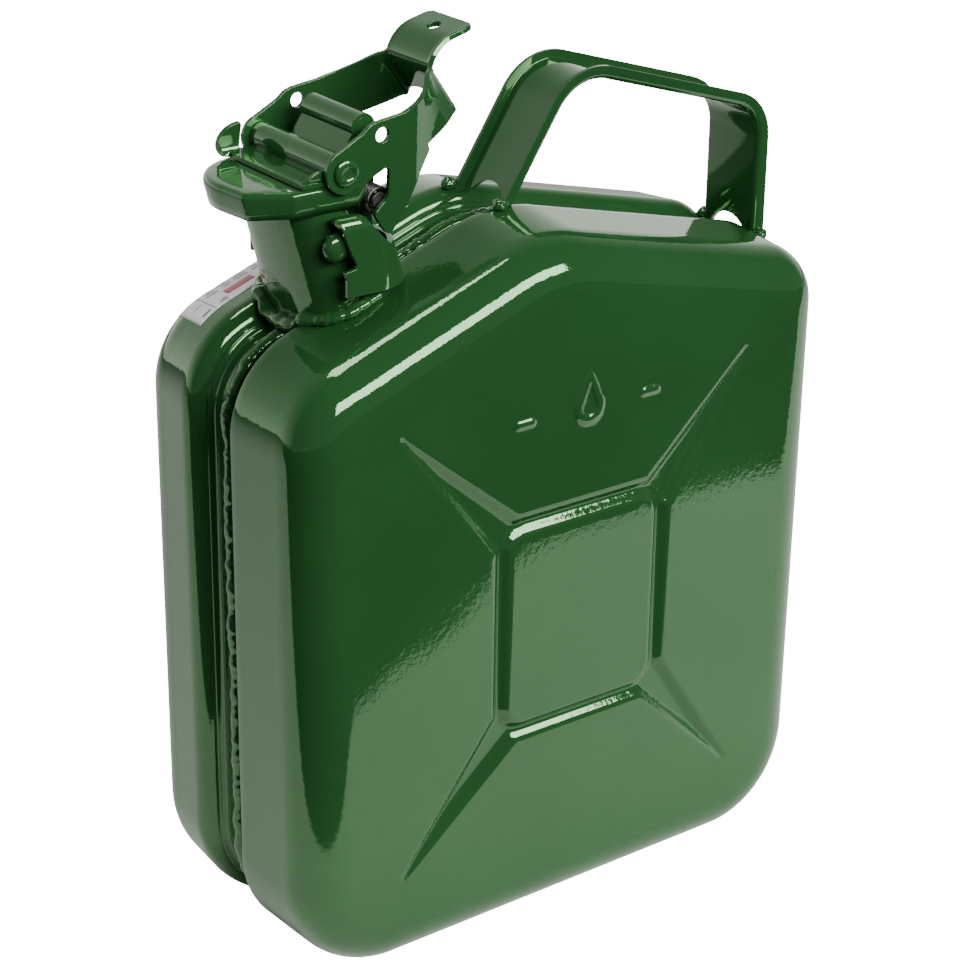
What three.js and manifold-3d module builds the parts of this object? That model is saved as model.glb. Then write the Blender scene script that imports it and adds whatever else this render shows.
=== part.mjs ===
// Five-litre steel jerry can with a lever-locked hinged lid.
// Millimetres. X is the width (+X is the carrying-handle side), -Y is the front, +Z is up.
// The origin is on the ground plane, at the middle of the can. Heights in this file are measured
// from a datum BASE_Z below the ground; every piece is lowered by BASE_Z when it is finished.

import * as THREE from 'three';
import { mergeVertices } from 'three/addons/utils/BufferGeometryUtils.js';
import Module from 'manifold-3d';

const wasm = await Module();
wasm.setup();

// ---- driving dimensions ------------------------------------------------------------------

const GAP = 0.3;                    // clearance left between neighbouring pieces
const SHEET = 1;                    // body sheet thickness
const HALF_WIDTH = 120;
const HALF_DEPTH = 55;
const BASE_Z = 4.8;
const LEFT_SHOULDER_Z = 238.2;
const RIGHT_SHOULDER_Z = 246.5;
const PEAK = { x: -10.4, z: 278.5 };

// Body outline, counter-clockwise in X-Z: corner position and corner radius.
const BODY_CORNERS = [
  { x: -HALF_WIDTH, z: BASE_Z, radius: 42 },
  { x: HALF_WIDTH, z: BASE_Z, radius: 42 },
  { x: HALF_WIDTH, z: RIGHT_SHOULDER_Z, radius: 25 },
  { x: PEAK.x, z: PEAK.z, radius: 60 },
  { x: -HALF_WIDTH, z: LEFT_SHOULDER_Z, radius: 36 },
];
const SHOULDER_SLOPE = (PEAK.z - LEFT_SHOULDER_Z) / (PEAK.x + HALF_WIDTH);

const GROOVE_HALF = 12;             // half width of the recessed seam groove
const GROOVE_DEPTH = 8;
const FRONT_RIM_RADIUS = 1.2;       // the front half's groove edge is crisp
const REAR_RIM_RADIUS = 7;          // the rear half's groove edge is well rounded
const WALL_DRAFT = 2;
const FACE_ROUNDING = 18;

const PANEL = { halfWidth: 32.7, low: 92.7, high: 167.3, radius: 6 };
const FRAME = { halfWidth: 40.5, low: 84.5, high: 174.5, radius: 9 };
const ARM_TIP = { x: 76.5, low: 46.5, high: 217.5 };
const ARM_HALF_WIDTH = 9;
const PRESSING_X = 2.5;             // the pressing sits slightly towards the handle side
const PRESSING_DEPTH = 2.9;
const MARK_HEIGHT = 0.8;
const MARK_X = { leftDash: -26, drop: 3, rightDash: 31 };
const MARK_Z = 211;

const NECK = {
  baseX: -67.8, baseZ: 236, baseHalfX: 18.8, baseHalfY: 24,
  topX: -87.3, topZ: 296, topHalfX: 14.3, topHalfY: 22,
  wall: 1.6,
};
const HINGE = { x: -65.8, z: 291.3, radius: 2 };
const LEVER_PIVOT = { x: -81.4, z: 304.6, radius: 2.4 };
const TUBE = { x: -66.5, z: 315, radius: 4.8 };
const LID = { left: -116.2, right: -70.5, halfY: 24.6, low: 290.5, high: 300, skin: 1.4 };
const STRAP_HALF_Y = 24.6;
const STRAP_SKIN = 1.8;
const ARM_INNER_Y = 13;
const ARM_OUTER_Y = 16;
const LUG_INNER_Y = 10.2;
const LUG_OUTER_Y = 12.2;
const PIN_END_Y = 24.4;
const CHEEK_INNER_Y = 25.2;
const CHEEK_OUTER_Y = 27.2;
const EAR_INNER_Y = 29.4;
const EAR_OUTER_Y = 31.4;

const HANDLE = {
  halfY: 15, flange: 5, skin: 2, bendRadius: 22,
  leftFoot: { x: -8.9, z: 273.6 },
  leftCorner: { x: 24.5, z: 325.2 },
  rightCorner: { x: 119.4, z: 296.3 },
  rightFoot: { x: 119.6, z: 238 },
};

// ---- materials ---------------------------------------------------------------------------

const enamel = colour => new THREE.MeshStandardMaterial({ color: colour, roughness: 0.2, metalness: 0 });
const GREEN = '#1f5a2b';
const BRIGHT_GREEN = '#276534';
const material = {
  body: () => enamel(GREEN),
  fitting: () => enamel(BRIGHT_GREEN),
  weld: () => new THREE.MeshStandardMaterial({ color: '#2b5b33', roughness: 0.25, metalness: 0.1 }),
  steel: () => new THREE.MeshStandardMaterial({ color: '#50524f', roughness: 0.45, metalness: 0.9 }),
  rubber: () => new THREE.MeshStandardMaterial({ color: '#1b1c1b', roughness: 0.8, metalness: 0 }),
  paper: () => new THREE.MeshStandardMaterial({ color: '#f1efec', roughness: 0.6, metalness: 0 }),
};

// ---- solids ------------------------------------------------------------------------------

function toSolid(geometry) {
  geometry.deleteAttribute('normal');
  geometry.deleteAttribute('uv');
  const merged = mergeVertices(geometry, 1e-4);
  return new wasm.Manifold(new wasm.Mesh({
    numProp: 3,
    vertProperties: new Float32Array(merged.getAttribute('position').array),
    triVerts: new Uint32Array(merged.index.array),
  }));
}

// Points closer than SLIVER, left where cuts cross, become one, and their flat triangles go.
const SLIVER = 0.01;

function toGeometry(solid) {
  const mesh = solid.simplify(SLIVER).getMesh();
  const cut = new THREE.BufferGeometry();
  cut.setAttribute('position', new THREE.Float32BufferAttribute(mesh.vertProperties, 3));
  cut.setIndex([...mesh.triVerts]);
  const geometry = mergeVertices(cut, SLIVER);
  const corners = geometry.index.array;
  const kept = [];
  for (let i = 0; i < corners.length; i += 3) {
    const [a, b, c] = corners.slice(i, i + 3);
    if (a !== b && b !== c && c !== a) kept.push(a, b, c);
  }
  geometry.setIndex(kept);
  geometry.translate(0, 0, -BASE_Z);
  geometry.computeVertexNormals();
  return geometry;
}

function join(solids) {
  return solids.reduce((sum, solid) => sum.add(solid));
}

function capTriangles(loop, sameSense) {
  const normal = new THREE.Vector3();
  loop.forEach((point, i) => {
    normal.add(new THREE.Vector3().crossVectors(point, loop[(i + 1) % loop.length]));
  });
  const size = normal.toArray().map(Math.abs);
  const drop = size.indexOf(Math.max(...size));
  const flat = loop.map(point => {
    const kept = point.toArray().filter((_, axis) => axis !== drop);
    return new THREE.Vector2(kept[0], kept[1]);
  });
  const faces = THREE.ShapeUtils.triangulateShape(flat, []);
  const faceArea = faces.reduce(
    (sum, face) => sum + THREE.ShapeUtils.area(face.map(i => flat[i])), 0);
  const agrees = faceArea * THREE.ShapeUtils.area(flat) > 0;
  return faces.map(face => (agrees === sameSense ? face : [face[0], face[2], face[1]]));
}

// Skin over a row of matching loops. A closed row joins its last loop to its first.
function loft(loops, closed = false) {
  const count = loops[0].length;
  const indices = [];
  const bands = closed ? loops.length : loops.length - 1;
  for (let band = 0; band < bands; band++) {
    const here = band * count;
    const there = ((band + 1) % loops.length) * count;
    for (let i = 0; i < count; i++) {
      const j = (i + 1) % count;
      indices.push(here + i, here + j, there + j, here + i, there + j, there + i);
    }
  }
  if (!closed) {
    const last = (loops.length - 1) * count;
    capTriangles(loops[0], false).forEach(face => indices.push(...face));
    capTriangles(loops[loops.length - 1], true).forEach(face => {
      indices.push(...face.map(i => last + i));
    });
  }
  const points = loops.flat();
  let volume = 0;
  for (let i = 0; i < indices.length; i += 3) {
    const [a, b, c] = [points[indices[i]], points[indices[i + 1]], points[indices[i + 2]]];
    volume += a.dot(new THREE.Vector3().crossVectors(b, c));
  }
  if (volume < 0) indices.reverse();
  const geometry = new THREE.BufferGeometry();
  geometry.setAttribute('position', new THREE.Float32BufferAttribute(
    points.flatMap(point => point.toArray()), 3));
  geometry.setIndex(indices);
  return toSolid(geometry);
}

// A flat plate: an X-Z shape with thickness along Y.
function plate(shape, lowY, highY) {
  const geometry = new THREE.ExtrudeGeometry(shape, {
    depth: highY - lowY, bevelEnabled: false, curveSegments: 5,
  });
  geometry.rotateX(Math.PI / 2);
  geometry.translate(0, highY, 0);
  return toSolid(geometry);
}

// A horizontal slab: an X-Y shape with thickness along Z.
function slab(shape, lowZ, highZ) {
  const geometry = new THREE.ExtrudeGeometry(shape, {
    depth: highZ - lowZ, bevelEnabled: false, curveSegments: 8,
  });
  geometry.translate(0, 0, lowZ);
  return toSolid(geometry);
}

function polygon(pairs) {
  return new THREE.Shape(pairs.map(([a, b]) => new THREE.Vector2(a, b)));
}

function roundedRectangle(left, low, right, high, radius) {
  const shape = new THREE.Shape();
  shape.moveTo(left + radius, low);
  shape.lineTo(right - radius, low);
  shape.absarc(right - radius, low + radius, radius, -Math.PI / 2, 0, false);
  shape.lineTo(right, high - radius);
  shape.absarc(right - radius, high - radius, radius, 0, Math.PI / 2, false);
  shape.lineTo(left + radius, high);
  shape.absarc(left + radius, high - radius, radius, Math.PI / 2, Math.PI, false);
  shape.lineTo(left, low + radius);
  shape.absarc(left + radius, low + radius, radius, Math.PI, Math.PI * 1.5, false);
  return shape;
}

function rodAlongY(centre, radius, lowY, highY, segments = 24) {
  const geometry = new THREE.CylinderGeometry(radius, radius, highY - lowY, segments);
  geometry.translate(centre.x, (lowY + highY) / 2, centre.z);
  return toSolid(geometry);
}

function ball(centre, scale) {
  const geometry = new THREE.SphereGeometry(1, 12, 6);
  geometry.scale(scale.x, scale.y, scale.z);
  geometry.translate(centre.x, centre.y, centre.z);
  return toSolid(geometry);
}

function mirrorY(solid) {
  const mesh = solid.getMesh();
  const positions = mesh.vertProperties.map((value, i) => (i % 3 === 1 ? -value : value));
  const triangles = new Uint32Array(mesh.triVerts).reverse();
  return new wasm.Manifold(new wasm.Mesh({
    numProp: 3, vertProperties: positions, triVerts: triangles,
  }));
}

// ---- body outline ------------------------------------------------------------------------

// The base has no draft: below BASE_ZONE the outline is stretched down so that it stays flat.
const BASE_ZONE = 60;

function flattenBase(z, inset, drop) {
  if (z > BASE_ZONE || drop <= 0) return z;
  const height = BASE_ZONE - BASE_Z - inset;
  return BASE_ZONE - ((BASE_ZONE - z) * (height + drop)) / height;
}

// How far the base comes back down for a section that stands `inset` inside the outline.
function baseDrop(inset) {
  return Math.min(inset, WALL_DRAFT);
}

// The body outline moved inwards by `inset`, as X-Z pairs. Every inset has the same count.
function bodyOutline(inset, drop = baseDrop(inset)) {
  const points = [];
  const corners = BODY_CORNERS.map(corner => new THREE.Vector2(corner.x, corner.z));
  const count = corners.length;
  for (let i = 0; i < count; i++) {
    const here = corners[i];
    const into = here.clone().sub(corners[(i + count - 1) % count]).normalize();
    const out = corners[(i + 1) % count].clone().sub(here).normalize();
    const turn = Math.atan2(into.cross(out), into.dot(out));
    const radius = Math.max(BODY_CORNERS[i].radius - inset, 3);
    const inward = into.clone().multiplyScalar(-1).add(out).normalize();
    const reach = inset / Math.cos(turn / 2);
    const corner = here.clone().addScaledVector(inward, reach);
    const centre = corner.clone().addScaledVector(inward, radius / Math.cos(turn / 2));
    const start = Math.atan2(-into.x, into.y);
    const steps = Math.max(2, Math.round(turn / (Math.PI / 10)));
    for (let step = 0; step <= steps; step++) {
      const angle = start + (turn * step) / steps;
      points.push([centre.x + radius * Math.cos(angle), centre.y + radius * Math.sin(angle)]);
    }
  }
  return points.map(([x, z]) => [x, flattenBase(z, inset, drop)]);
}

function outlineLoop(inset, y, drop = baseDrop(inset)) {
  return bodyOutline(inset, drop).map(([x, z]) => new THREE.Vector3(x, y, z));
}

// Prism of the body outline, used to trim what stands on the can.
function bodyPrism(inset, halfY) {
  return loft([outlineLoop(inset, -halfY), outlineLoop(inset, halfY)]);
}

// ---- body shells -------------------------------------------------------------------------

function arcPairs(centre, radius, fromAngle, toAngle, steps) {
  return Array.from({ length: steps + 1 }, (_, i) => {
    const angle = fromAngle + ((toAngle - fromAngle) * i) / steps;
    return [centre[0] + radius * Math.cos(angle), centre[1] + radius * Math.sin(angle)];
  });
}

// Half section of the body from the seam to the face: [inset from the outline, distance from Y=0].
function shellProfile(rimRadius) {
  const rimSteps = rimRadius > 3 ? 3 : 1;
  const rim = arcPairs([rimRadius, GROOVE_HALF + rimRadius], rimRadius, -Math.PI / 2, -Math.PI, rimSteps);
  const faceCentre = [WALL_DRAFT + FACE_ROUNDING, HALF_DEPTH - FACE_ROUNDING];
  const face = arcPairs(faceCentre, FACE_ROUNDING, Math.PI, Math.PI / 2, 5);
  return [
    [GROOVE_DEPTH, GAP / 2],
    [GROOVE_DEPTH, GROOVE_HALF - 1.5],
    [Math.max(GROOVE_DEPTH - 1.2, rimRadius + 0.2), GROOVE_HALF],
    ...rim,
    ...face,
  ];
}

// The same section moved to the inside of the sheet.
function innerProfile(profile) {
  return profile.map((point, i) => {
    const before = profile[Math.max(i - 1, 0)];
    const after = profile[Math.min(i + 1, profile.length - 1)];
    const into = new THREE.Vector2(point[0] - before[0], point[1] - before[1]).normalize();
    const out = new THREE.Vector2(after[0] - point[0], after[1] - point[1]).normalize();
    if (i === 0) return [point[0] + SHEET, point[1]];
    if (i === profile.length - 1) return [point[0], point[1] - SHEET];
    const half = into.clone().add(out).normalize();
    const miter = SHEET / Math.max(half.dot(into), 0.5);
    return [point[0] + half.y * miter, point[1] - half.x * miter];
  });
}

// The pressed groove round the centre panel, with its four tapering arms.
function pressing(grow, lowY, highY) {
  const block = (half, low, high, radius) =>
    roundedRectangle(PRESSING_X - half, low, PRESSING_X + half, high, radius);
  const solids = [plate(
    block(FRAME.halfWidth + grow, FRAME.low - grow, FRAME.high + grow, FRAME.radius), lowY, highY)];
  for (const side of [-1, 1]) {
    for (const [cornerZ, tipZ] of [[FRAME.low, ARM_TIP.low], [FRAME.high, ARM_TIP.high]]) {
      const rootX = PRESSING_X + side * (FRAME.halfWidth - 6);
      const root = new THREE.Vector2(rootX, cornerZ + Math.sign(cornerZ - tipZ) * 6);
      const tip = new THREE.Vector2(side * ARM_TIP.x, tipZ);
      const along = tip.clone().sub(root).normalize();
      const across = new THREE.Vector2(-along.y, along.x);
      const wide = ARM_HALF_WIDTH + grow;
      const narrow = 1.5 + grow;
      const shape = new THREE.Shape([
        root.clone().addScaledVector(across, -wide),
        tip.clone().addScaledVector(across, -narrow),
        tip.clone().addScaledVector(across, narrow),
        root.clone().addScaledVector(across, wide),
      ]);
      solids.push(plate(shape, lowY, highY));
    }
  }
  const panel = block(PANEL.halfWidth - grow, PANEL.low + grow, PANEL.high - grow, PANEL.radius);
  return join(solids).subtract(plate(panel, lowY - 1, highY + 1));
}

// Two short dashes with a plain fuel-drop between them, raised from the face.
function faceMarks(lowY, highY) {
  const drop = new THREE.Shape();
  const dropRadius = 6.5;
  const dropLeft = MARK_X.drop - dropRadius;
  const dropRight = MARK_X.drop + dropRadius;
  const tipZ = MARK_Z + 14;
  drop.moveTo(MARK_X.drop, tipZ);
  drop.bezierCurveTo(MARK_X.drop - 2, MARK_Z + 8, dropLeft, MARK_Z + 5, dropLeft, MARK_Z);
  drop.absarc(MARK_X.drop, MARK_Z, dropRadius, Math.PI, Math.PI * 2, false);
  drop.bezierCurveTo(dropRight, MARK_Z + 5, MARK_X.drop + 2, MARK_Z + 8, MARK_X.drop, tipZ);
  const dash = centreX => roundedRectangle(centreX - 4, MARK_Z - 1.2, centreX + 4, MARK_Z + 1.2, 1.1);
  return join([
    plate(drop, lowY, highY),
    plate(dash(MARK_X.leftDash), lowY, highY),
    plate(dash(MARK_X.rightDash), lowY, highY),
  ]);
}

function halfShell(rimRadius, side) {
  const outer = shellProfile(rimRadius);
  const drops = outer.map(([inset]) => baseDrop(inset));
  const outerLoops = outer.map(([inset, y], i) => outlineLoop(inset, -y, drops[i]));
  const innerLoops = innerProfile(outer).map(([inset, y], i) => outlineLoop(inset, -y, drops[i]));
  const floorY = -HALF_DEPTH + PRESSING_DEPTH;
  const pressed = loft([...innerLoops.reverse(), ...outerLoops])
    .add(pressing(SHEET, -HALF_DEPTH + SHEET / 2, floorY + SHEET))
    .subtract(pressing(0, -HALF_DEPTH - 1, floorY))
    .add(faceMarks(-HALF_DEPTH - MARK_HEIGHT, -HALF_DEPTH + SHEET / 2));
  const placed = side < 0 ? pressed : mirrorY(pressed);
  return placed.subtract(neckSolid(GAP));
}

// ---- neck --------------------------------------------------------------------------------

const NECK_STEPS = 32;

// Neck section at height z; the neck leans towards -X as it rises.
function neckLoop(z, grow) {
  const t = (z - NECK.baseZ) / (NECK.topZ - NECK.baseZ);
  const mix = (low, high) => low + (high - low) * t;
  const centreX = mix(NECK.baseX, NECK.topX);
  const halfX = mix(NECK.baseHalfX, NECK.topHalfX) + grow;
  const halfY = mix(NECK.baseHalfY, NECK.topHalfY) + grow;
  const power = 2 / 2.4;
  return Array.from({ length: NECK_STEPS }, (_, i) => {
    const angle = (Math.PI * 2 * i) / NECK_STEPS;
    const c = Math.cos(angle);
    const s = Math.sin(angle);
    return new THREE.Vector3(
      centreX + halfX * Math.sign(c) * Math.abs(c) ** power,
      halfY * Math.sign(s) * Math.abs(s) ** power,
      z);
  });
}

function neckSolid(grow) {
  return loft([neckLoop(NECK.baseZ - grow, grow), neckLoop(NECK.topZ + grow, grow)]);
}

function neck() {
  const bore = loft([neckLoop(NECK.baseZ - 1, -NECK.wall), neckLoop(NECK.topZ + 1, -NECK.wall)]);
  return neckSolid(0).subtract(bore);
}

// Height of the left shoulder's sheet above the ground at x.
function shoulderZ(x) {
  return LEFT_SHOULDER_Z + SHOULDER_SLOPE * (x + HALF_WIDTH);
}

// Point where neck line `i` meets the shoulder.
function neckFoot(i) {
  let z = shoulderZ(NECK.baseX);
  for (let pass = 0; pass < 6; pass++) z = shoulderZ(neckLoop(z, 0)[i].x);
  return neckLoop(z, 0)[i];
}

// Fillet weld round the foot of the neck, following the slope of the shoulder.
function neckWeld() {
  const weldRadius = 3.2;
  const loops = Array.from({ length: NECK_STEPS }, (_, i) => {
    const foot = neckFoot(i);
    const angle = (Math.PI * 2 * i) / NECK_STEPS;
    const outward = new THREE.Vector3(Math.cos(angle), Math.sin(angle), 0);
    return Array.from({ length: 6 }, (__, k) => {
      const ring = (Math.PI * 2 * k) / 6;
      return foot.clone()
        .addScaledVector(outward, weldRadius * Math.cos(ring))
        .add(new THREE.Vector3(0, 0, weldRadius * Math.sin(ring)));
    });
  });
  return loft(loops, true)
    .subtract(neckSolid(GAP))
    .subtract(bodyPrism(-GAP, HALF_DEPTH));
}

// ---- seam --------------------------------------------------------------------------------

const BEAD = { inner: GROOVE_DEPTH - GAP, outer: GROOVE_DEPTH - 2.8, halfY: 3 };

// Weld bead on the floor of the groove, all round the can except where the neck stands.
function seamBead() {
  const middle = (BEAD.inner + BEAD.outer) / 2;
  const section = [
    [BEAD.inner, -BEAD.halfY],
    [middle, -BEAD.halfY * 0.85],
    [BEAD.outer, -BEAD.halfY * 0.4],
    [BEAD.outer, BEAD.halfY * 0.4],
    [middle, BEAD.halfY * 0.85],
    [BEAD.inner, BEAD.halfY],
  ];
  const loops = section.map(([inset, y]) => outlineLoop(inset, y));
  const neckRoom = loft([neckLoop(NECK.baseZ - 8, 3.6), neckLoop(NECK.topZ, 3.6)]);
  return loft(loops, true).subtract(neckRoom);
}

// ---- breather tube -----------------------------------------------------------------------

// Thin tube from the pouring neck, under its lower edge, to the air space beneath the handle.
function breatherTube() {
  const radius = 2.5;
  const bore = 1.5;
  const path = new THREE.CatmullRomCurve3([
    new THREE.Vector3(-76, 0, 268),
    new THREE.Vector3(-71, 0, 243),
    new THREE.Vector3(-57, 0, 228),
    new THREE.Vector3(-38, 0, 232),
    new THREE.Vector3(-14, 0, 254),
  ]);
  const ring = new THREE.Shape();
  ring.absarc(0, 0, radius, 0, Math.PI * 2, false);
  const hole = new THREE.Path();
  hole.absarc(0, 0, bore, 0, Math.PI * 2, true);
  ring.holes.push(hole);
  return toSolid(new THREE.ExtrudeGeometry(ring, {
    steps: 14, curveSegments: 4, bevelEnabled: false, extrudePath: path,
  }));
}

// ---- hinge bracket -----------------------------------------------------------------------

const BRACKET = {
  low: 262, high: 288, skin: 2, bandTop: 277, left: -84.5, rightAtLow: -53, radius: 18,
  lean: (NECK.topX - NECK.baseX) / (NECK.topZ - NECK.baseZ),
};

// Plan outline of the collar round the neck at height z, moved inwards by `inset`.
function collarLoop(z, inset) {
  const right = BRACKET.rightAtLow + (z - BRACKET.low) * BRACKET.lean - inset;
  const halfY = EAR_OUTER_Y - inset;
  const radius = BRACKET.radius - inset;
  const corner = (side, from) => arcPairs(
    [right - radius, side * (halfY - radius)], radius, from, from + Math.PI / 2, 6);
  const pairs = [
    [BRACKET.left - 6, -halfY],
    ...corner(-1, -Math.PI / 2),
    ...corner(1, 0),
    [BRACKET.left - 6, halfY],
  ];
  return pairs.map(([x, y]) => new THREE.Vector3(x, y, z));
}

function bothSides(shape, innerY, outerY) {
  return plate(shape, innerY, outerY).add(plate(shape, -outerY, -innerY));
}

// Upright lug that carries the hinge pin, standing on the band behind the neck.
function lugShape() {
  const radius = 4.2;
  const shape = new THREE.Shape();
  shape.moveTo(HINGE.x - radius, BRACKET.low);
  shape.lineTo(BRACKET.rightAtLow - 1, BRACKET.low);
  shape.lineTo(BRACKET.rightAtLow - 1 + (BRACKET.bandTop - BRACKET.low) * BRACKET.lean, BRACKET.bandTop);
  shape.lineTo(HINGE.x + radius, HINGE.z);
  shape.absarc(HINGE.x, HINGE.z, radius, 0, Math.PI, false);
  return shape;
}

function hingeBracket() {
  const collar = loft([collarLoop(BRACKET.low, 0), collarLoop(BRACKET.high, 0)]);
  const pocket = loft([
    collarLoop(BRACKET.low - 1, BRACKET.skin),
    collarLoop(BRACKET.high - BRACKET.skin, BRACKET.skin),
  ]);
  const hookRoom = polygon([
    [-71.5, BRACKET.high + 1], [-66.5, BRACKET.bandTop], [-30, BRACKET.bandTop], [-30, BRACKET.high + 1],
  ]);
  const openLeft = polygon([
    [BRACKET.left - 20, 255], [BRACKET.left, 255], [BRACKET.left + 2, BRACKET.high + 1],
    [BRACKET.left - 20, BRACKET.high + 1],
  ]);
  const studNotch = polygon([[-90, 271.5], [-79, 272.2], [-81.2, 284.4], [-90, 284.4]]);
  return collar
    .subtract(pocket)
    .subtract(plate(hookRoom, -40, 40))
    .subtract(plate(openLeft, -40, 40))
    .subtract(bothSides(studNotch, EAR_INNER_Y - 1, 40))
    .add(bothSides(lugShape(), LUG_INNER_Y, LUG_OUTER_Y))
    .subtract(neckSolid(GAP))
    .subtract(bodyPrism(-4, HALF_DEPTH))
    .subtract(rodAlongY(HINGE, HINGE.radius + GAP, -40, 40, 16));
}

function hingePin() {
  const headRadius = HINGE.radius + 1.2;
  return join([
    rodAlongY(HINGE, HINGE.radius, -PIN_END_Y, PIN_END_Y, 16),
    rodAlongY(HINGE, headRadius, PIN_END_Y - 1, PIN_END_Y, 16),
    rodAlongY(HINGE, headRadius, -PIN_END_Y, 1 - PIN_END_Y, 16),
  ]);
}

const COIL_STEPS = 12;

// Coil round the hinge pin with a leg that reaches down to the band.
function torsionSpring(side) {
  const wire = 0.65;
  const radius = 3.7;
  const turns = 3.75;
  const [fromY, toY] = [ARM_OUTER_Y + 1.2, PIN_END_Y - 2.2];
  const points = [];
  for (let step = 0; step <= turns * COIL_STEPS; step++) {
    const turned = step / (turns * COIL_STEPS);
    const angle = Math.PI * 2 * turns * turned;
    points.push(new THREE.Vector3(
      HINGE.x + radius * Math.cos(angle),
      side * (fromY + (toY - fromY) * turned),
      HINGE.z + radius * Math.sin(angle)));
  }
  points.unshift(new THREE.Vector3(HINGE.x + radius, side * fromY, HINGE.z - 9));
  const section = new THREE.Shape();
  section.absarc(0, 0, wire, 0, Math.PI * 2, false);
  return toSolid(new THREE.ExtrudeGeometry(section, {
    steps: 60, curveSegments: 3, bevelEnabled: false, extrudePath: new THREE.CatmullRomCurve3(points),
  }));
}

const STUD = { x: -85.5, z: 279, shank: 3.2, head: 4.8, headY: 26, endY: 29 };

function stud(side) {
  const [neckY, endY] = [side * 19, side * STUD.endY];
  const headY = side * STUD.headY;
  const dome = ball({ x: STUD.x, y: headY, z: STUD.z }, { x: STUD.head, y: STUD.endY - STUD.headY, z: STUD.head });
  return join([
    rodAlongY(STUD, STUD.shank, Math.min(neckY, endY) + 0.5, Math.max(neckY, endY) - 0.5),
    dome,
  ]).subtract(neckSolid(GAP));
}

// ---- lid ---------------------------------------------------------------------------------

// D-shaped plan of the lid: a half round nose on -X and a straight end on +X.
function lidLoop(z, inset, right) {
  const radius = LID.halfY - inset;
  const nose = arcPairs([LID.left + LID.halfY, 0], radius, Math.PI / 2, Math.PI * 1.5, 16);
  return [...nose, [right, -radius], [right, radius]].map(([x, y]) => new THREE.Vector3(x, y, z));
}

function lid() {
  const edge = 3;
  const steps = [0, 1, 2, 3].map(i => (Math.PI / 2) * (i / 3));
  const outer = loft([
    lidLoop(LID.low, 0, LID.right),
    ...steps.map(a => lidLoop(LID.high - edge + edge * Math.sin(a), edge * (1 - Math.cos(a)), LID.right)),
  ]);
  const inner = loft([
    lidLoop(LID.low - 1, LID.skin, LID.right + 10),
    lidLoop(LID.high - edge, LID.skin, LID.right + 10),
    lidLoop(LID.high - LID.skin, edge, LID.right + 10),
  ]);
  return outer.subtract(inner);
}

function gasket() {
  const [low, high] = [NECK.topZ + GAP, LID.high - LID.skin - GAP];
  const ring = grow => {
    const at = neckLoop(NECK.topZ, grow);
    return z => at.map(point => point.clone().setZ(z));
  };
  return loft([ring(-0.8)(low), ring(-0.8)(high)]).subtract(loft([ring(-4)(low - 1), ring(-4)(high + 1)]));
}

// ---- lid strap ---------------------------------------------------------------------------

function strip(from, to, thickness) {
  const along = new THREE.Vector2(to[0] - from[0], to[1] - from[1]).normalize();
  const half = [(-along.y * thickness) / 2, (along.x * thickness) / 2];
  return polygon([
    [from[0] - half[0], from[1] - half[1]],
    [to[0] - half[0], to[1] - half[1]],
    [to[0] + half[0], to[1] + half[1]],
    [from[0] + half[0], from[1] + half[1]],
  ]);
}

function capsule(a, b, radius) {
  const angle = Math.atan2(b.z - a.z, b.x - a.x);
  const shape = new THREE.Shape();
  shape.absarc(b.x, b.z, radius, angle - Math.PI / 2, angle + Math.PI / 2, false);
  shape.absarc(a.x, a.z, radius, angle + Math.PI / 2, angle + Math.PI * 1.5, false);
  return shape;
}

function lidStrap() {
  const footZ = LID.high + GAP + STRAP_SKIN / 2;
  const knuckleRadius = LEVER_PIVOT.z - LID.high - GAP;
  const rise = strip(
    [LEVER_PIVOT.x + 3.4, LEVER_PIVOT.z - 1.2], [TUBE.x - 3, TUBE.z - 3], STRAP_SKIN);
  const ear = polygon([
    [-99.5, footZ - 0.9], [-92, footZ - 0.9], [-91.5, footZ + 2.5], [-95, footZ + 7.5],
    [-98.5, footZ + 6], [-101, footZ + 3.5],
  ]);
  return join([
    plate(strip([-96, footZ], [LEVER_PIVOT.x - 1.5, footZ], STRAP_SKIN), -STRAP_HALF_Y, STRAP_HALF_Y),
    bothSides(ear, STRAP_HALF_Y - STRAP_SKIN, STRAP_HALF_Y),
    rodAlongY(LEVER_PIVOT, knuckleRadius, -STRAP_HALF_Y, STRAP_HALF_Y),
    plate(rise, -ARM_OUTER_Y, ARM_OUTER_Y),
    rodAlongY(TUBE, TUBE.radius, -ARM_OUTER_Y + 1, ARM_OUTER_Y - 1),
    bothSides(capsule(HINGE, TUBE, 3.4), ARM_INNER_Y, ARM_OUTER_Y),
  ])
    .subtract(rodAlongY(LEVER_PIVOT, LEVER_PIVOT.radius + GAP, -40, 40))
    .subtract(rodAlongY(TUBE, TUBE.radius - STRAP_SKIN, -40, 40))
    .subtract(rodAlongY(HINGE, HINGE.radius + GAP, -40, 40, 16));
}

// ---- lever -------------------------------------------------------------------------------

const LEVER = {
  lobe: 7.5, bendX: -50, webX: -29.5, webHalfY: 14, skin: 2,
  topAtBend: 321.4, lowAtBend: 295.6,
};

// Flat rear part of the cheek: lobe, window notch and hook, back to the bend line.
function cheekShape() {
  const shape = new THREE.Shape();
  shape.moveTo(LEVER.bendX + 0.3, LEVER.topAtBend);
  shape.lineTo(-52.3, 320.8);
  shape.lineTo(-70.4, 319.4);
  shape.absarc(LEVER_PIVOT.x, LEVER_PIVOT.z, LEVER.lobe, Math.PI * 0.6, Math.PI * 1.68, false);
  shape.lineTo(-75, 298.4);
  shape.lineTo(-63.7, 303);
  shape.lineTo(-63.4, 293.1);
  shape.lineTo(-69.9, 287.7);
  shape.lineTo(-62.2, 279.5);
  shape.lineTo(LEVER.bendX + 0.3, LEVER.lowAtBend);
  return shape;
}

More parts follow.
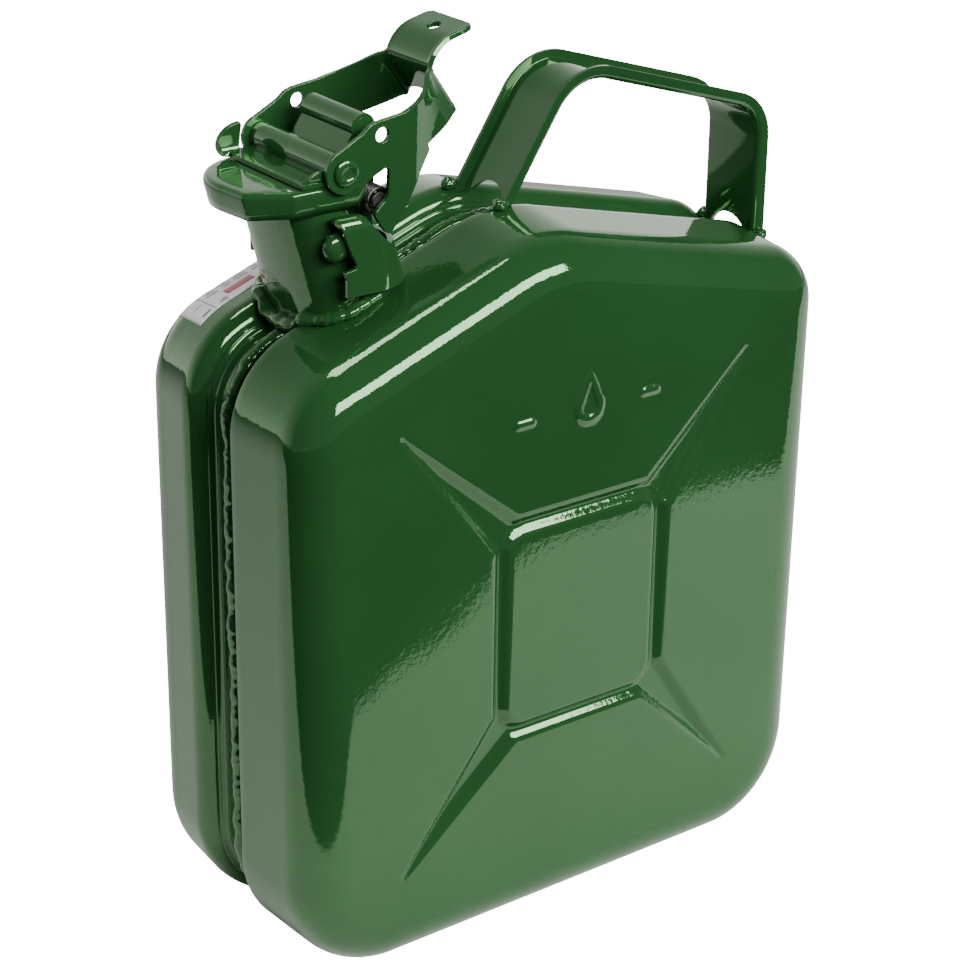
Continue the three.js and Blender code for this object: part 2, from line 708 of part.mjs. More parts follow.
// Front part of the cheek, bent inwards to meet the cross web.
function bentCheek() {
  const shape = polygon([
    [LEVER.bendX, LEVER.topAtBend], [LEVER.bendX, LEVER.lowAtBend], [-41.3, 307],
    [-28.5, 317.1], [-31, 326.5],
  ]);
  const geometry = new THREE.ExtrudeGeometry(shape, {
    depth: CHEEK_OUTER_Y - CHEEK_INNER_Y, bevelEnabled: false,
  });
  geometry.rotateX(Math.PI / 2);
  geometry.translate(0, -CHEEK_INNER_Y, 0);
  const inward = (CHEEK_OUTER_Y - LEVER.webHalfY) / (LEVER.webX - LEVER.bendX);
  const positions = geometry.getAttribute('position');
  for (let i = 0; i < positions.count; i++) {
    positions.setY(i, positions.getY(i) + inward * (positions.getX(i) - LEVER.bendX));
  }
  return toSolid(geometry);
}

function lever() {
  const tabLine = [[-30.6, 323], [-31.6, 329.5], [-29.2, 334.6], [-24.6, 338.4], [-16.4, 340.8]];
  const tab = tabLine.slice(1).map((to, i) => plate(strip(tabLine[i], to, LEVER.skin), -13.5, 13.5));
  const joints = tabLine.slice(1, -1).map(([x, z]) => rodAlongY({ x, z }, LEVER.skin / 2, -13.5, 13.5, 12));
  const web = strip([-30.9, 326], [-28.6, 317.2], LEVER.skin);
  const thumbHole = new THREE.Shape();
  thumbHole.absarc(-23, 0, 2.6, 0, Math.PI * 2, false);
  return join([
    bothSides(cheekShape(), CHEEK_INNER_Y, CHEEK_OUTER_Y),
    bentCheek(),
    mirrorY(bentCheek()),
    plate(web, -LEVER.webHalfY, LEVER.webHalfY),
    ...tab,
    ...joints,
  ])
    .subtract(slab(thumbHole, 334, 345))
    .subtract(rodAlongY(TUBE, 2.6, -40, 40))
    .subtract(rodAlongY(LEVER_PIVOT, LEVER_PIVOT.radius + GAP, -40, 40));
}

function leverPin() {
  const headRadius = 4.8;
  const [inner, outer] = [CHEEK_OUTER_Y + GAP, CHEEK_OUTER_Y + 1.8];
  return join([
    rodAlongY(LEVER_PIVOT, LEVER_PIVOT.radius, -outer, outer),
    rodAlongY(LEVER_PIVOT, headRadius, inner, outer),
    rodAlongY(LEVER_PIVOT, headRadius, -outer, -inner),
  ]);
}

// ---- carrying handle ---------------------------------------------------------------------

// Free edge of the handle's flanges from foot to foot: point and direction at each step.
function handlePath() {
  const { leftFoot, leftCorner, rightCorner, rightFoot } = HANDLE;
  const corners = [leftFoot, leftCorner, rightCorner, rightFoot].map(p => new THREE.Vector2(p.x, p.z));
  const headings = [0, 1, 2].map(i => corners[i + 1].clone().sub(corners[i]).normalize());
  const stations = [{ at: corners[0].clone().addScaledVector(headings[0], -9), heading: headings[0] }];
  for (const i of [1, 2]) {
    const [into, out] = [headings[i - 1], headings[i]];
    const turn = Math.acos(into.dot(out));
    const start = corners[i].clone().addScaledVector(into, -HANDLE.bendRadius * Math.tan(turn / 2));
    const centre = start.clone().add(new THREE.Vector2(into.y, -into.x).multiplyScalar(HANDLE.bendRadius));
    for (let step = 0; step <= 8; step++) {
      const angle = -(turn * step) / 8;
      const at = start.clone().rotateAround(centre, angle);
      stations.push({ at, heading: into.clone().rotateAround(new THREE.Vector2(), angle) });
    }
  }
  stations.push({ at: corners[3], heading: headings[2] });
  return stations;
}

// Sweep a section, given as [depth below the free edge, y], along the handle.
function handleSweep(section) {
  return loft(handlePath().map(({ at, heading }) => section.map(([depth, y]) => new THREE.Vector3(
    at.x + heading.y * depth, y, at.y - heading.x * depth))));
}

function handle() {
  const { halfY, flange, skin } = HANDLE;
  const channel = [
    [0, -halfY], [flange, -halfY], [flange, halfY], [0, halfY],
    [0, halfY - skin], [flange - skin, halfY - skin], [flange - skin, skin - halfY], [0, skin - halfY],
  ];
  const archRadius = GROOVE_HALF - 1;
  const arch = (x, z) => {
    const geometry = new THREE.CylinderGeometry(archRadius, archRadius, 24, 24);
    geometry.rotateZ(Math.PI / 2);
    geometry.translate(x, 0, z);
    return toSolid(geometry);
  };
  return handleSweep(channel)
    .subtract(bodyPrism(-GAP, HALF_DEPTH))
    .subtract(arch(HANDLE.leftFoot.x + 4, HANDLE.leftFoot.z))
    .subtract(arch(HANDLE.rightFoot.x - 4, HANDLE.rightFoot.z + 2));
}

// Blob of weld at one corner of a handle foot.
function handleWeld(x, z, side) {
  const room = HANDLE.halfY + GAP;
  const full = [[-GAP, -room], [HANDLE.flange + GAP, -room], [HANDLE.flange + GAP, room], [-GAP, room]];
  return ball({ x, y: side * (HANDLE.halfY + 0.6), z }, { x: 3, y: 3.2, z: 3.2 })
    .subtract(handleSweep(full))
    .subtract(bodyPrism(-GAP, HALF_DEPTH));
}

// ---- sticker -----------------------------------------------------------------------------

// Points on the outline's last rounded corner, which the sticker starts round.
const CORNER_POINTS = 5;

const STICKER = { right: -90, fromY: 23, toY: 36, thickness: 0.3 };

// Blank sticker on the rear half's left shoulder, wrapping a little over the corner.
function sticker() {
  const path = inset => {
    const turnedCorner = bodyOutline(inset).slice(-CORNER_POINTS, 3 - CORNER_POINTS);
    const [cornerX, cornerZ] = turnedCorner[0];
    const start = [STICKER.right, cornerZ + SHOULDER_SLOPE * (STICKER.right - cornerX)];
    return [start, ...turnedCorner];
  };
  const loops = [STICKER.fromY, STICKER.toY].map(y => {
    const wallStart = GROOVE_HALF + REAR_RIM_RADIUS;
    const wallEnd = HALF_DEPTH - FACE_ROUNDING;
    const inset = (WALL_DRAFT * (y - wallStart)) / (wallEnd - wallStart);
    const pairs = [...path(inset - GAP), ...path(inset - GAP - STICKER.thickness).reverse()];
    return pairs.map(([x, z]) => new THREE.Vector3(x, y, z));
  });
  return loft(loops);
}

// ---- assembly ----------------------------------------------------------------------------

const PIECES = {
  front_shell: [() => halfShell(FRONT_RIM_RADIUS, -1), material.body],
  rear_shell: [() => halfShell(REAR_RIM_RADIUS, 1), material.body],
  seam_weld_bead: [seamBead, material.weld],
  neck: [neck, material.body],
  neck_weld_bead: [neckWeld, material.weld],
  breather_tube: [breatherTube, material.steel],
  hinge_bracket: [hingeBracket, material.fitting],
  hinge_pin: [hingePin, material.steel],
  torsion_spring_front: [() => torsionSpring(-1), material.steel],
  torsion_spring_rear: [() => torsionSpring(1), material.steel],
  stud_front: [() => stud(-1), material.fitting],
  stud_rear: [() => stud(1), material.fitting],
  lid: [lid, material.fitting],
  lid_gasket: [gasket, material.rubber],
  lid_strap: [lidStrap, material.fitting],
  locking_lever: [lever, material.fitting],
  lever_pin: [leverPin, material.fitting],
  carrying_handle: [handle, material.body],
  handle_weld_left_front: [() => handleWeld(-8.5, 276, -1), material.weld],
  handle_weld_left_rear: [() => handleWeld(-8.5, 276, 1), material.weld],
  handle_weld_right_front: [() => handleWeld(116.5, 243.5, -1), material.weld],
  handle_weld_right_rear: [() => handleWeld(116.5, 243.5, 1), material.weld],
  sticker: [sticker, material.paper],
};

const can = new THREE.Group();
for (const [name, [build, finish]] of Object.entries(PIECES)) {
  const mesh = new THREE.Mesh(toGeometry(build()), finish());
  mesh.name = name;
  can.add(mesh);
}

export default can;
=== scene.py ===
import math

import bmesh
import bpy
from mathutils import Matrix, Vector, noise
from mathutils.geometry import delaunay_2d_cdt


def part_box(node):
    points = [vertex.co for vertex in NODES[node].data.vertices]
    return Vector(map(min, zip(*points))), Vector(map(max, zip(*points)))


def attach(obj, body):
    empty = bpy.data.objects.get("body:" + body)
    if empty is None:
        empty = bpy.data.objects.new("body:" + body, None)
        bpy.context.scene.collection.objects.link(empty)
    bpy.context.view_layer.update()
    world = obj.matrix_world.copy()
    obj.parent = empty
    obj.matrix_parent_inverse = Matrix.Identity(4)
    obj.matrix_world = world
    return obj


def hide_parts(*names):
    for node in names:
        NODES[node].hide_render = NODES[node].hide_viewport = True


# Looks of the steel jerry can. Lengths are in millimetres and become metres in add_mesh().

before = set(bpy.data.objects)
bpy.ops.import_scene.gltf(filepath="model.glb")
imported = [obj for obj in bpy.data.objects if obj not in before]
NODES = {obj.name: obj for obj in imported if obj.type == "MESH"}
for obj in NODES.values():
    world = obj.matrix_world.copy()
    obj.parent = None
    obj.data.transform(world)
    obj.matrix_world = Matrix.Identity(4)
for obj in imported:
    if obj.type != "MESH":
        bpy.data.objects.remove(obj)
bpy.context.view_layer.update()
MM = 0.001

# Heights in this file are measured from a datum this far below the ground the can stands on.
BASE_Z = 4.8
TO_GROUND = Vector((0, 0, -BASE_Z))


def node_box(name):
    low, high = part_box(name)
    return Vector(low) / MM - TO_GROUND, Vector(high) / MM - TO_GROUND


# ---- sizes taken from the frame ----

SHELL_LOW, SHELL_HIGH = node_box("front_shell")
HALF_WIDTH = SHELL_HIGH.x
HALF_DEPTH = 55.0
MARK_HEIGHT = -SHELL_LOW.y - HALF_DEPTH
LEFT_SHOULDER_Z = 238.2
RIGHT_SHOULDER_Z = 246.5
PEAK = Vector((-10.4, 278.5))
SHOULDER_SLOPE = (PEAK.y - LEFT_SHOULDER_Z) / (PEAK.x + HALF_WIDTH)
CORNERS = [
    (Vector((-HALF_WIDTH, BASE_Z)), 42),
    (Vector((HALF_WIDTH, BASE_Z)), 42),
    (Vector((HALF_WIDTH, RIGHT_SHOULDER_Z)), 25),
    (PEAK, 60),
    (Vector((-HALF_WIDTH, LEFT_SHOULDER_Z)), 36),
]
GROOVE_HALF = 12
GROOVE_DEPTH = 8
FRONT_RIM_RADIUS = 1.2
REAR_RIM_RADIUS = 7
WALL_DRAFT = 2
FACE_ROUNDING = 18
BASE_ZONE = 60
SHEET = 1.0


# ---- mesh helpers ----

def add_mesh(name, points, faces, material, smooth=True):
    mesh = bpy.data.meshes.new(name)
    mesh.from_pydata([(Vector(p) + TO_GROUND) * MM for p in points], [], faces)
    mesh.update()
    obj = bpy.data.objects.new(name, mesh)
    bpy.context.scene.collection.objects.link(obj)
    mesh.materials.append(material)
    if smooth:
        mesh.polygons.foreach_set("use_smooth", [True] * len(mesh.polygons))
    tidy_normals(mesh)
    return obj


def tidy_normals(mesh):
    work = bmesh.new()
    work.from_mesh(mesh)
    bmesh.ops.remove_doubles(work, verts=work.verts, dist=0.00001)
    bmesh.ops.recalc_face_normals(work, faces=work.faces)
    work.to_mesh(mesh)
    work.free()


def row_faces(rows, around, closed=False, capped=True):
    """Quads between rows of points. The last row meets the first, or the two ends are capped."""
    faces = []
    for k in range(rows if closed else rows - 1):
        m = (k + 1) % rows
        for i in range(around):
            j = (i + 1) % around
            faces.append([k * around + i, k * around + j, m * around + j, m * around + i])
    if capped and not closed:
        faces += [list(range(around)), [(rows - 1) * around + i for i in range(around)]]
    return faces


def sharp_by_angle(obj, degrees):
    obj.data.set_sharp_from_angle(angle=math.radians(degrees))


def round_edges(obj, width, degrees=35, segments=2):
    bevel = obj.modifiers.new("rounded edges", "BEVEL")
    bevel.width = width * MM
    bevel.segments = segments
    bevel.limit_method = "ANGLE"
    bevel.angle_limit = math.radians(degrees)
    bevel.harden_normals = True
    bevel.use_clamp_overlap = True


def thicken(obj, thickness):
    solid = obj.modifiers.new("sheet", "SOLIDIFY")
    solid.thickness = thickness * MM
    solid.offset = -1
    solid.use_even_offset = True


def arc(centre, radius, start, end, steps):
    angles = [start + (end - start) * i / steps for i in range(steps + 1)]
    return [Vector((centre[0] + radius * math.cos(a), centre[1] + radius * math.sin(a))) for a in angles]


def circle(centre, radius, steps=28):
    return arc(centre, radius, 0, math.tau, steps)[:-1]


def densify(loop, step):
    points = []
    for i, here in enumerate(loop):
        there = loop[(i + 1) % len(loop)]
        count = max(1, math.ceil((there - here).length / step))
        points += [here.lerp(there, k / count) for k in range(count)]
    return points


def inside(point, loop):
    hit = False
    for i, a in enumerate(loop):
        b = loop[i - 1]
        if (a.y > point.y) != (b.y > point.y):
            if point.x < (b.x - a.x) * (point.y - a.y) / (b.y - a.y) + a.x:
                hit = not hit
    return hit


def near_loop(point, loop, distance):
    return any(abs(q.x - point.x) < distance and abs(q.y - point.y) < distance for q in loop)


def tidy_slivers(points, triangles):
    """Swap each flat sliver's diagonal with its neighbour's, or drop it where it has none."""
    owners = {}
    for k, triangle in enumerate(triangles):
        for i in range(3):
            owners.setdefault(frozenset((triangle[i - 1], triangle[i])), set()).add(k)
    dropped = set()
    for k, triangle in enumerate(triangles):
        lengths = [(points[triangle[i]] - points[triangle[(i + 1) % 3]]).length for i in range(3)]
        i = lengths.index(max(lengths))
        a, c, b = (triangle[(i + n) % 3] for n in range(3))
        height = abs((points[c] - points[a]).cross(points[b] - points[a])) / lengths[i]
        if height > 0.01:
            continue
        others = owners[frozenset((a, c))] - {k}
        if not others:
            dropped.add(k)
            continue
        other = others.pop()
        d = next(v for v in triangles[other] if v not in (a, c))
        triangles[k] = [a, b, d]
        triangles[other] = [b, c, d]
        owners[frozenset((b, c))] ^= {k, other}
        owners[frozenset((a, d))] ^= {k, other}
        owners[frozenset((b, d))] = {k, other}
    return [triangle for k, triangle in enumerate(triangles) if k not in dropped]


def fill(loops, extra):
    """Triangles over the first loop less the others, with the extra points inside."""
    points = []
    edges = []
    for loop in loops:
        first = len(points)
        points += loop
        edges += [(first + i, first + (i + 1) % len(loop)) for i in range(len(loop))]
    points += extra
    out_points, _, out_faces, *_ = delaunay_2d_cdt(points, edges, [], 0, 0.0001)
    kept = []
    for face in out_faces:
        middle = sum((out_points[i] for i in face), Vector((0, 0))) / len(face)
        if inside(middle, loops[0]) and not any(inside(middle, hole) for hole in loops[1:]):
            kept.append(list(face))
    return out_points, tidy_slivers(out_points, kept)


def grid_points(loops, step):
    """Points `step` apart inside the first loop, clear of every loop's edge."""
    xs = [p.x for p in loops[0]]
    ys = [p.y for p in loops[0]]
    points = []
    for i in range(math.ceil(min(xs) / step), math.floor(max(xs) / step) + 1):
        for j in range(math.ceil(min(ys) / step), math.floor(max(ys) / step) + 1):
            point = Vector((i * step, j * step))
            if not inside(point, loops[0]) or any(inside(point, hole) for hole in loops[1:]):
                continue
            if not any(near_loop(point, loop, step * 0.6) for loop in loops):
                points.append(point)
    return points


def with_normals(point_at):
    """Turns point_at(u, v) into a place function that also gives the surface's unit normal."""
    reach = 0.05

    def place(u, v):
        across = point_at(u + reach, v) - point_at(u - reach, v)
        along = point_at(u, v + reach) - point_at(u, v - reach)
        return point_at(u, v), across.cross(along).normalized()

    return place


def sheet(name, loops, place, thickness, step, material, edge=0.35):
    """Sheet metal: flat outlines bent into place. place(u, v) gives a point and a unit normal."""
    dense = [densify(loop, step) for loop in loops]
    flat, triangles = fill(dense, grid_points(dense, step))
    points = []
    for side in (0.5, -0.5):
        for uv in flat:
            at, normal = place(uv.x, uv.y)
            points.append(at + normal * thickness * side)
    count = len(flat)
    faces = [list(t) for t in triangles]
    faces += [[i + count for i in reversed(t)] for t in triangles]
    sides = dict.fromkeys((a, t[(i + 1) % len(t)]) for t in triangles for i, a in enumerate(t))
    faces += [[b, a, a + count, b + count] for a, b in sides if (b, a) not in sides]
    obj = add_mesh(name, points, faces, material)
    if edge:
        round_edges(obj, edge)
    return obj


def plate(name, loops, low_y, high_y, material, edge=0.35):
    """A flat plate: X-Z outlines with thickness along Y."""
    middle = (low_y + high_y) / 2
    return sheet(
        name, loops, lambda u, v: (Vector((u, middle, v)), Vector((0, -1, 0))),
        high_y - low_y, 1000, material, edge)


def join(name, objects, body):
    bpy.ops.object.select_all(action="DESELECT")
    for obj in objects:
        bpy.context.view_layer.objects.active = obj
        obj.select_set(True)
        for modifier in list(obj.modifiers):
            bpy.ops.object.modifier_apply(modifier=modifier.name)
    bpy.context.view_layer.objects.active = objects[0]
    if len(objects) > 1:
        bpy.ops.object.join()
    piece = bpy.context.view_layer.objects.active
    piece.name = name
    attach(piece, body)
    return piece


def rounded_path(points, radii, step_angle=8):
    """An open path through the points, with each inner corner rounded."""
    points = [Vector(p) for p in points]
    path = [points[0]]
    for i in range(1, len(points) - 1):
        into = (points[i] - points[i - 1]).normalized()
        out = (points[i + 1] - points[i]).normalized()
        turn = math.atan2(into.x * out.y - into.y * out.x, into.dot(out))
        radius = radii[i - 1]
        if abs(turn) < 0.02 or radius <= 0:
            path.append(points[i])
            continue
        start = points[i] - into * radius * math.tan(abs(turn) / 2)
        side = Vector((-into.y, into.x)) * math.copysign(radius, turn)
        centre = start + side
        steps = max(3, math.ceil(math.degrees(abs(turn)) / step_angle))
        for k in range(steps + 1):
            angle = turn * k / steps
            spoke = -side
            path.append(centre + Vector((
                spoke.x * math.cos(angle) - spoke.y * math.sin(angle),
                spoke.x * math.sin(angle) + spoke.y * math.cos(angle))))
    return path + [points[-1]]


class Walk:
    """Looks up the place and the left-hand normal at a distance along a 2-D path."""

    def __init__(self, path):
        self.path = [p for i, p in enumerate(path) if i == 0 or (p - path[i - 1]).length > 0.0001]
        self.at = [0.0]
        for a, b in zip(self.path, self.path[1:]):
            self.at.append(self.at[-1] + (b - a).length)
        self.length = self.at[-1]
        spans = [(b - a).normalized() for a, b in zip(self.path, self.path[1:])]
        self.heading = [spans[0]]
        for a, b in zip(spans, spans[1:]):
            self.heading.append((a + b).normalized())
        self.heading.append(spans[-1])

    def __call__(self, s):
        k = 0
        while k < len(self.path) - 2 and self.at[k + 1] < s:
            k += 1
        t = (s - self.at[k]) / (self.at[k + 1] - self.at[k])
        place = self.path[k].lerp(self.path[k + 1], t)
        heading = self.heading[k].lerp(self.heading[k + 1], min(max(t, 0), 1)).normalized()
        return place, Vector((-heading.y, heading.x))


def turned(name, section, centre, material, around=48):
    """A solid of revolution about a line along Y: section is (radius, y) pairs."""
    points = []
    for radius, y in section:
        for i in range(around):
            angle = math.tau * i / around
            points.append((centre[0] + radius * math.cos(angle), y, centre[1] + radius * math.sin(angle)))
    obj = add_mesh(name, points, row_faces(len(section), around), material)
    sharp_by_angle(obj, 40)
    return obj


def wire(name, path, radius, material, around=10):
    """A round bar along a 3-D path."""
    points = []
    up = Vector((0, 1, 0))
    for i, at in enumerate(path):
        ahead = (path[min(i + 1, len(path) - 1)] - path[max(i - 1, 0)]).normalized()
        side = ahead.cross(up)
        side = side.normalized() if side.length > 0.1 else Vector((1, 0, 0))
        lift = side.cross(ahead).normalized()
        for k in range(around):
            angle = math.tau * k / around
            points.append(at + side * radius * math.cos(angle) + lift * radius * math.sin(angle))
    return add_mesh(name, points, row_faces(len(path), around), material)


def smooth_step(t):
    t = min(max(t, 0), 1)
    return t * t * (3 - 2 * t)


def bezier(a, b, c, steps=10):
    a, b, c = Vector(a), Vector(b), Vector(c)
    shares = [i / steps for i in range(steps + 1)]
    return [a * (1 - t) ** 2 + b * 2 * t * (1 - t) + c * t * t for t in shares]


# ---- materials ----

def new_material(name):
    material = bpy.data.materials.new(name)
    material.use_nodes = True
    tree = material.node_tree
    return material, tree, tree.nodes["Principled BSDF"]


def noise_node(tree, scale, detail):
    coords = tree.nodes.new("ShaderNodeTexCoord")
    node = tree.nodes.new("ShaderNodeTexNoise")
    node.inputs["Scale"].default_value = scale
    node.inputs["Detail"].default_value = detail
    tree.links.new(coords.outputs["Object"], node.inputs["Vector"])
    return node


def bump_node(tree, height, distance, under=None):
    bump = tree.nodes.new("ShaderNodeBump")
    bump.inputs["Strength"].default_value = 1.0
    bump.inputs["Distance"].default_value = distance
    tree.links.new(height, bump.inputs["Height"])
    if under:
        tree.links.new(under, bump.inputs["Normal"])
    return bump.outputs["Normal"]


def ramp_node(tree, source, stops):
    ramp = tree.nodes.new("ShaderNodeValToRGB")
    ramp.color_ramp.elements[0].position, ramp.color_ramp.elements[0].color = stops[0]
    ramp.color_ramp.elements[1].position, ramp.color_ramp.elements[1].color = stops[-1]
    for position, colour in stops[1:-1]:
        ramp.color_ramp.elements.new(position).color = colour
    tree.links.new(source, ramp.inputs["Fac"])
    return ramp.outputs["Color"]


GREEN_DEEP = (0.014, 0.060, 0.019, 1)
GREEN_MID = (0.018, 0.074, 0.024, 1)


def enamel(name, peel=1.0, ripple=1.0):
    """Thick gloss enamel: fine orange peel, slow ripple in the sheet, slight colour drift."""
    material, tree, shader = new_material(name)
    drift = noise_node(tree, 14, 3)
    colour = ramp_node(tree, drift.outputs["Fac"], [(0.3, GREEN_DEEP), (0.7, GREEN_MID)])
    tree.links.new(colour, shader.inputs["Base Color"])
    shader.inputs["Roughness"].default_value = 0.05
    shader.inputs["IOR"].default_value = 1.5
    shader.inputs["Specular IOR Level"].default_value = 0.75
    shader.inputs["Specular Tint"].default_value = (0.5, 1.0, 0.42, 1)
    shader.inputs["Coat Weight"].default_value = 0.5
    shader.inputs["Coat IOR"].default_value = 1.5
    shader.inputs["Coat Roughness"].default_value = 0.02
    shader.inputs["Coat Tint"].default_value = (0.78, 1.0, 0.72, 1)
    slow = noise_node(tree, 16, 1)
    fine = noise_node(tree, 520, 2)
    wave = bump_node(tree, slow.outputs["Fac"], 0.00045 * ripple)
    skin = bump_node(tree, fine.outputs["Fac"], 0.000028 * peel, wave)
    tree.links.new(skin, shader.inputs["Normal"])
    tree.links.new(skin, shader.inputs["Coat Normal"])
    return material


def grainy(name, scale, detail, stops, roughness, bump=0.0, metallic=0.0, specular=0.5):
    """A plain material whose colour drifts between the stops with a fine grain."""
    material, tree, shader = new_material(name)
    grain = noise_node(tree, scale, detail)
    tree.links.new(ramp_node(tree, grain.outputs["Fac"], stops), shader.inputs["Base Color"])
    shader.inputs["Roughness"].default_value = roughness
    shader.inputs["Metallic"].default_value = metallic
    shader.inputs["Specular IOR Level"].default_value = specular
    if bump:
        tree.links.new(bump_node(tree, grain.outputs["Fac"], bump), shader.inputs["Normal"])
    return material


def ink(name, colour):
    faded = tuple(min(1, c * 1.25) for c in colour[:3]) + (1,)
    return grainy(name, 900, 2, [(0.35, colour), (0.7, faded)], 0.4)


BODY = enamel("body_enamel")
FITTING = enamel("fitting_enamel", peel=0.6, ripple=0.5)
WELD = enamel("weld_enamel", peel=1.6, ripple=1.4)
STEEL = grainy(
    "dark_steel", 900, 4, [(0.3, (0.05, 0.05, 0.048, 1)), (0.7, (0.16, 0.155, 0.145, 1))],
    roughness=0.38, bump=0.00004, metallic=0.9)
RUBBER = grainy(
    "gasket_rubber", 1500, 3, [(0.3, (0.012, 0.012, 0.012, 1)), (0.7, (0.03, 0.03, 0.03, 1))],
    roughness=0.7, bump=0.00006)
PAPER = grainy(
    "sticker_vinyl", 400, 3, [(0.3, (0.80, 0.79, 0.77, 1)), (0.7, (0.87, 0.86, 0.84, 1))],
    roughness=0.35, bump=0.00002)
RED_INK = ink("red_ink", (0.42, 0.09, 0.10, 1))
GREY_INK = ink("grey_ink", (0.10, 0.10, 0.10, 1))


# ---- body outline ----

def flatten_base(z, inset):
    if z > BASE_ZONE or inset <= 0:
        return z
    height = BASE_ZONE - BASE_Z - inset
    return BASE_ZONE - (BASE_ZONE - z) * (height + min(inset, WALL_DRAFT)) / height


def corner_arc(i, inset, step):
    here, full_radius = CORNERS[i]
    into = (here - CORNERS[i - 1][0]).normalized()
    out = (CORNERS[(i + 1) % len(CORNERS)][0] - here).normalized()
    turn = math.atan2(into.x * out.y - into.y * out.x, into.dot(out))
    radius = max(full_radius - inset, 3)
    inward = (out - into).normalized()
    centre = here + inward * (inset + radius) / math.cos(turn / 2)
    start = math.atan2(-into.x, into.y)
    steps = max(6, math.ceil(turn * full_radius / step))
    return arc(centre, radius, start, start + turn, steps)


def outline(inset, step=2.4):
    """The body outline moved inwards, with the same number of points at every inset."""
    points = []
    for i in range(len(CORNERS)):
        turn = corner_arc(i, inset, step)
        after = corner_arc((i + 1) % len(CORNERS), inset, step)[0]
        full_span = (corner_arc(i, 0, step)[-1] - corner_arc((i + 1) % len(CORNERS), 0, step)[0]).length
        count = math.ceil(full_span / step)
        points += turn
        points += [turn[-1].lerp(after, k / count) for k in range(1, count)]
    return [Vector((p.x, flatten_base(p.y, inset))) for p in points]


# ---- neck shape ----

NECK_LOW, NECK_HIGH = node_box("neck")
NECK = {
    "base_x": -67.8, "base_half_x": 18.8, "base_half_y": 24,
    "top_x": -87.3, "top_half_x": 14.3, "top_half_y": 22,
}
NECK_POWER = 2.4    # the neck's section is a superellipse of this power


def neck_at(z, grow):
    """Centre and half widths of the neck's section at a height."""
    t = (z - NECK_LOW.z) / (NECK_HIGH.z - NECK_LOW.z)
    centre = NECK["base_x"] + (NECK["top_x"] - NECK["base_x"]) * t
    half_x = NECK["base_half_x"] + (NECK["top_half_x"] - NECK["base_half_x"]) * t + grow
    half_y = NECK["base_half_y"] + (NECK["top_half_y"] - NECK["base_half_y"]) * t + grow
    return centre, half_x, half_y


def neck_point(z, angle, grow=0.0):
    centre, half_x, half_y = neck_at(z, grow)
    power = 2 / NECK_POWER
    c = math.cos(angle)
    s = math.sin(angle)
    return Vector((
        centre + half_x * math.copysign(abs(c) ** power, c),
        half_y * math.copysign(abs(s) ** power, s),
        z))


def shoulder_z(x):
    return LEFT_SHOULDER_Z + SHOULDER_SLOPE * (x + HALF_WIDTH)


def in_neck(point, grow):
    centre, half_x, half_y = neck_at(point.z, grow)
    across = abs((point.x - centre) / half_x) ** NECK_POWER
    return point.z > 225 and across + abs(point.y / half_y) ** NECK_POWER < 1


# ---- body halves ----

PRESSING = {
    "centre_x": 2.5, "middle_z": 130, "panel_half_x": 32.5, "panel_half_z": 37.5, "panel_radius": 7,
    "frame_half_x": 40.8, "frame_half_z": 46, "frame_radius": 5,
    "tip_x": 77.5, "tip_half_z": 87, "depth": 3.0, "slope": 5.0,
}
MARK_Z = 211
ARM_WIDE = 9.0
ARM_NARROW = 1.6


def rounded_box_distance(x, z, half_x, half_z, radius):
    dx = abs(x) - half_x + radius
    dz = abs(z) - half_z + radius
    outside = math.hypot(max(dx, 0), max(dz, 0))
    return outside + min(max(dx, dz), 0) - radius


def pressing_room(x, z):
    """How far a face point lies inside the pressed groove; negative outside it."""
    p = PRESSING
    tip_x = p["tip_x"] - math.copysign(p["centre_x"], x - p["centre_x"])
    x = abs(x - p["centre_x"])
    z = abs(z - p["middle_z"])
    frame_d = rounded_box_distance(x, z, p["frame_half_x"], p["frame_half_z"], p["frame_radius"])
    panel_d = rounded_box_distance(x, z, p["panel_half_x"], p["panel_half_z"], p["panel_radius"])
    root = Vector((p["frame_half_x"] - 6, p["frame_half_z"] - 7))
    tip = Vector((tip_x, p["tip_half_z"]))
    along = tip - root
    here = Vector((x, z)) - root
    t = min(max(here.dot(along) / along.length_squared, 0), 1)
    arm_d = (here - along * t).length - (ARM_WIDE + (ARM_NARROW - ARM_WIDE) * t)
    return min(-min(frame_d, arm_d), panel_d)


def soft_ramp(t, fillet=0.22):
    t = min(max(t, 0), 1)
    scale = 2 * fillet * (1 - fillet)
    if t < fillet:
        return t * t / scale
    if t > 1 - fillet:
        return 1 - (1 - t) ** 2 / scale
    return (t - fillet / 2) / (1 - fillet)


def mark_distance(x, z):
    """Distance outside the two dashes and the fuel drop between them."""
    dash = min(
        rounded_box_distance(x - centre, z - MARK_Z, 4.2, 1.4, 1.3) for centre in (-25.5, 31))
    drop_x = x - 3
    bulb = math.hypot(drop_x, z - MARK_Z) - 6.5
    lift = (z - MARK_Z) / 14
    if 0.15 < lift < 1:
        bulb = min(bulb, abs(drop_x) - 6.5 * (1 - lift) ** 0.75)
    elif lift >= 1:
        bulb = math.hypot(drop_x, z - MARK_Z - 14)
    ring = abs(bulb + 1.6) - 1.6
    return min(dash, ring)


def face_height(x, z):
    room = pressing_room(x, z)
    depth = PRESSING["depth"] * soft_ramp(room / PRESSING["slope"])
    raised = MARK_HEIGHT * soft_ramp(0.5 - mark_distance(x, z) / 1.6)
    return depth - raised


def face_needs_detail(x, z):
    return -1.5 < pressing_room(x, z) < PRESSING["slope"] + 1.5 or mark_distance(x, z) < 2.5


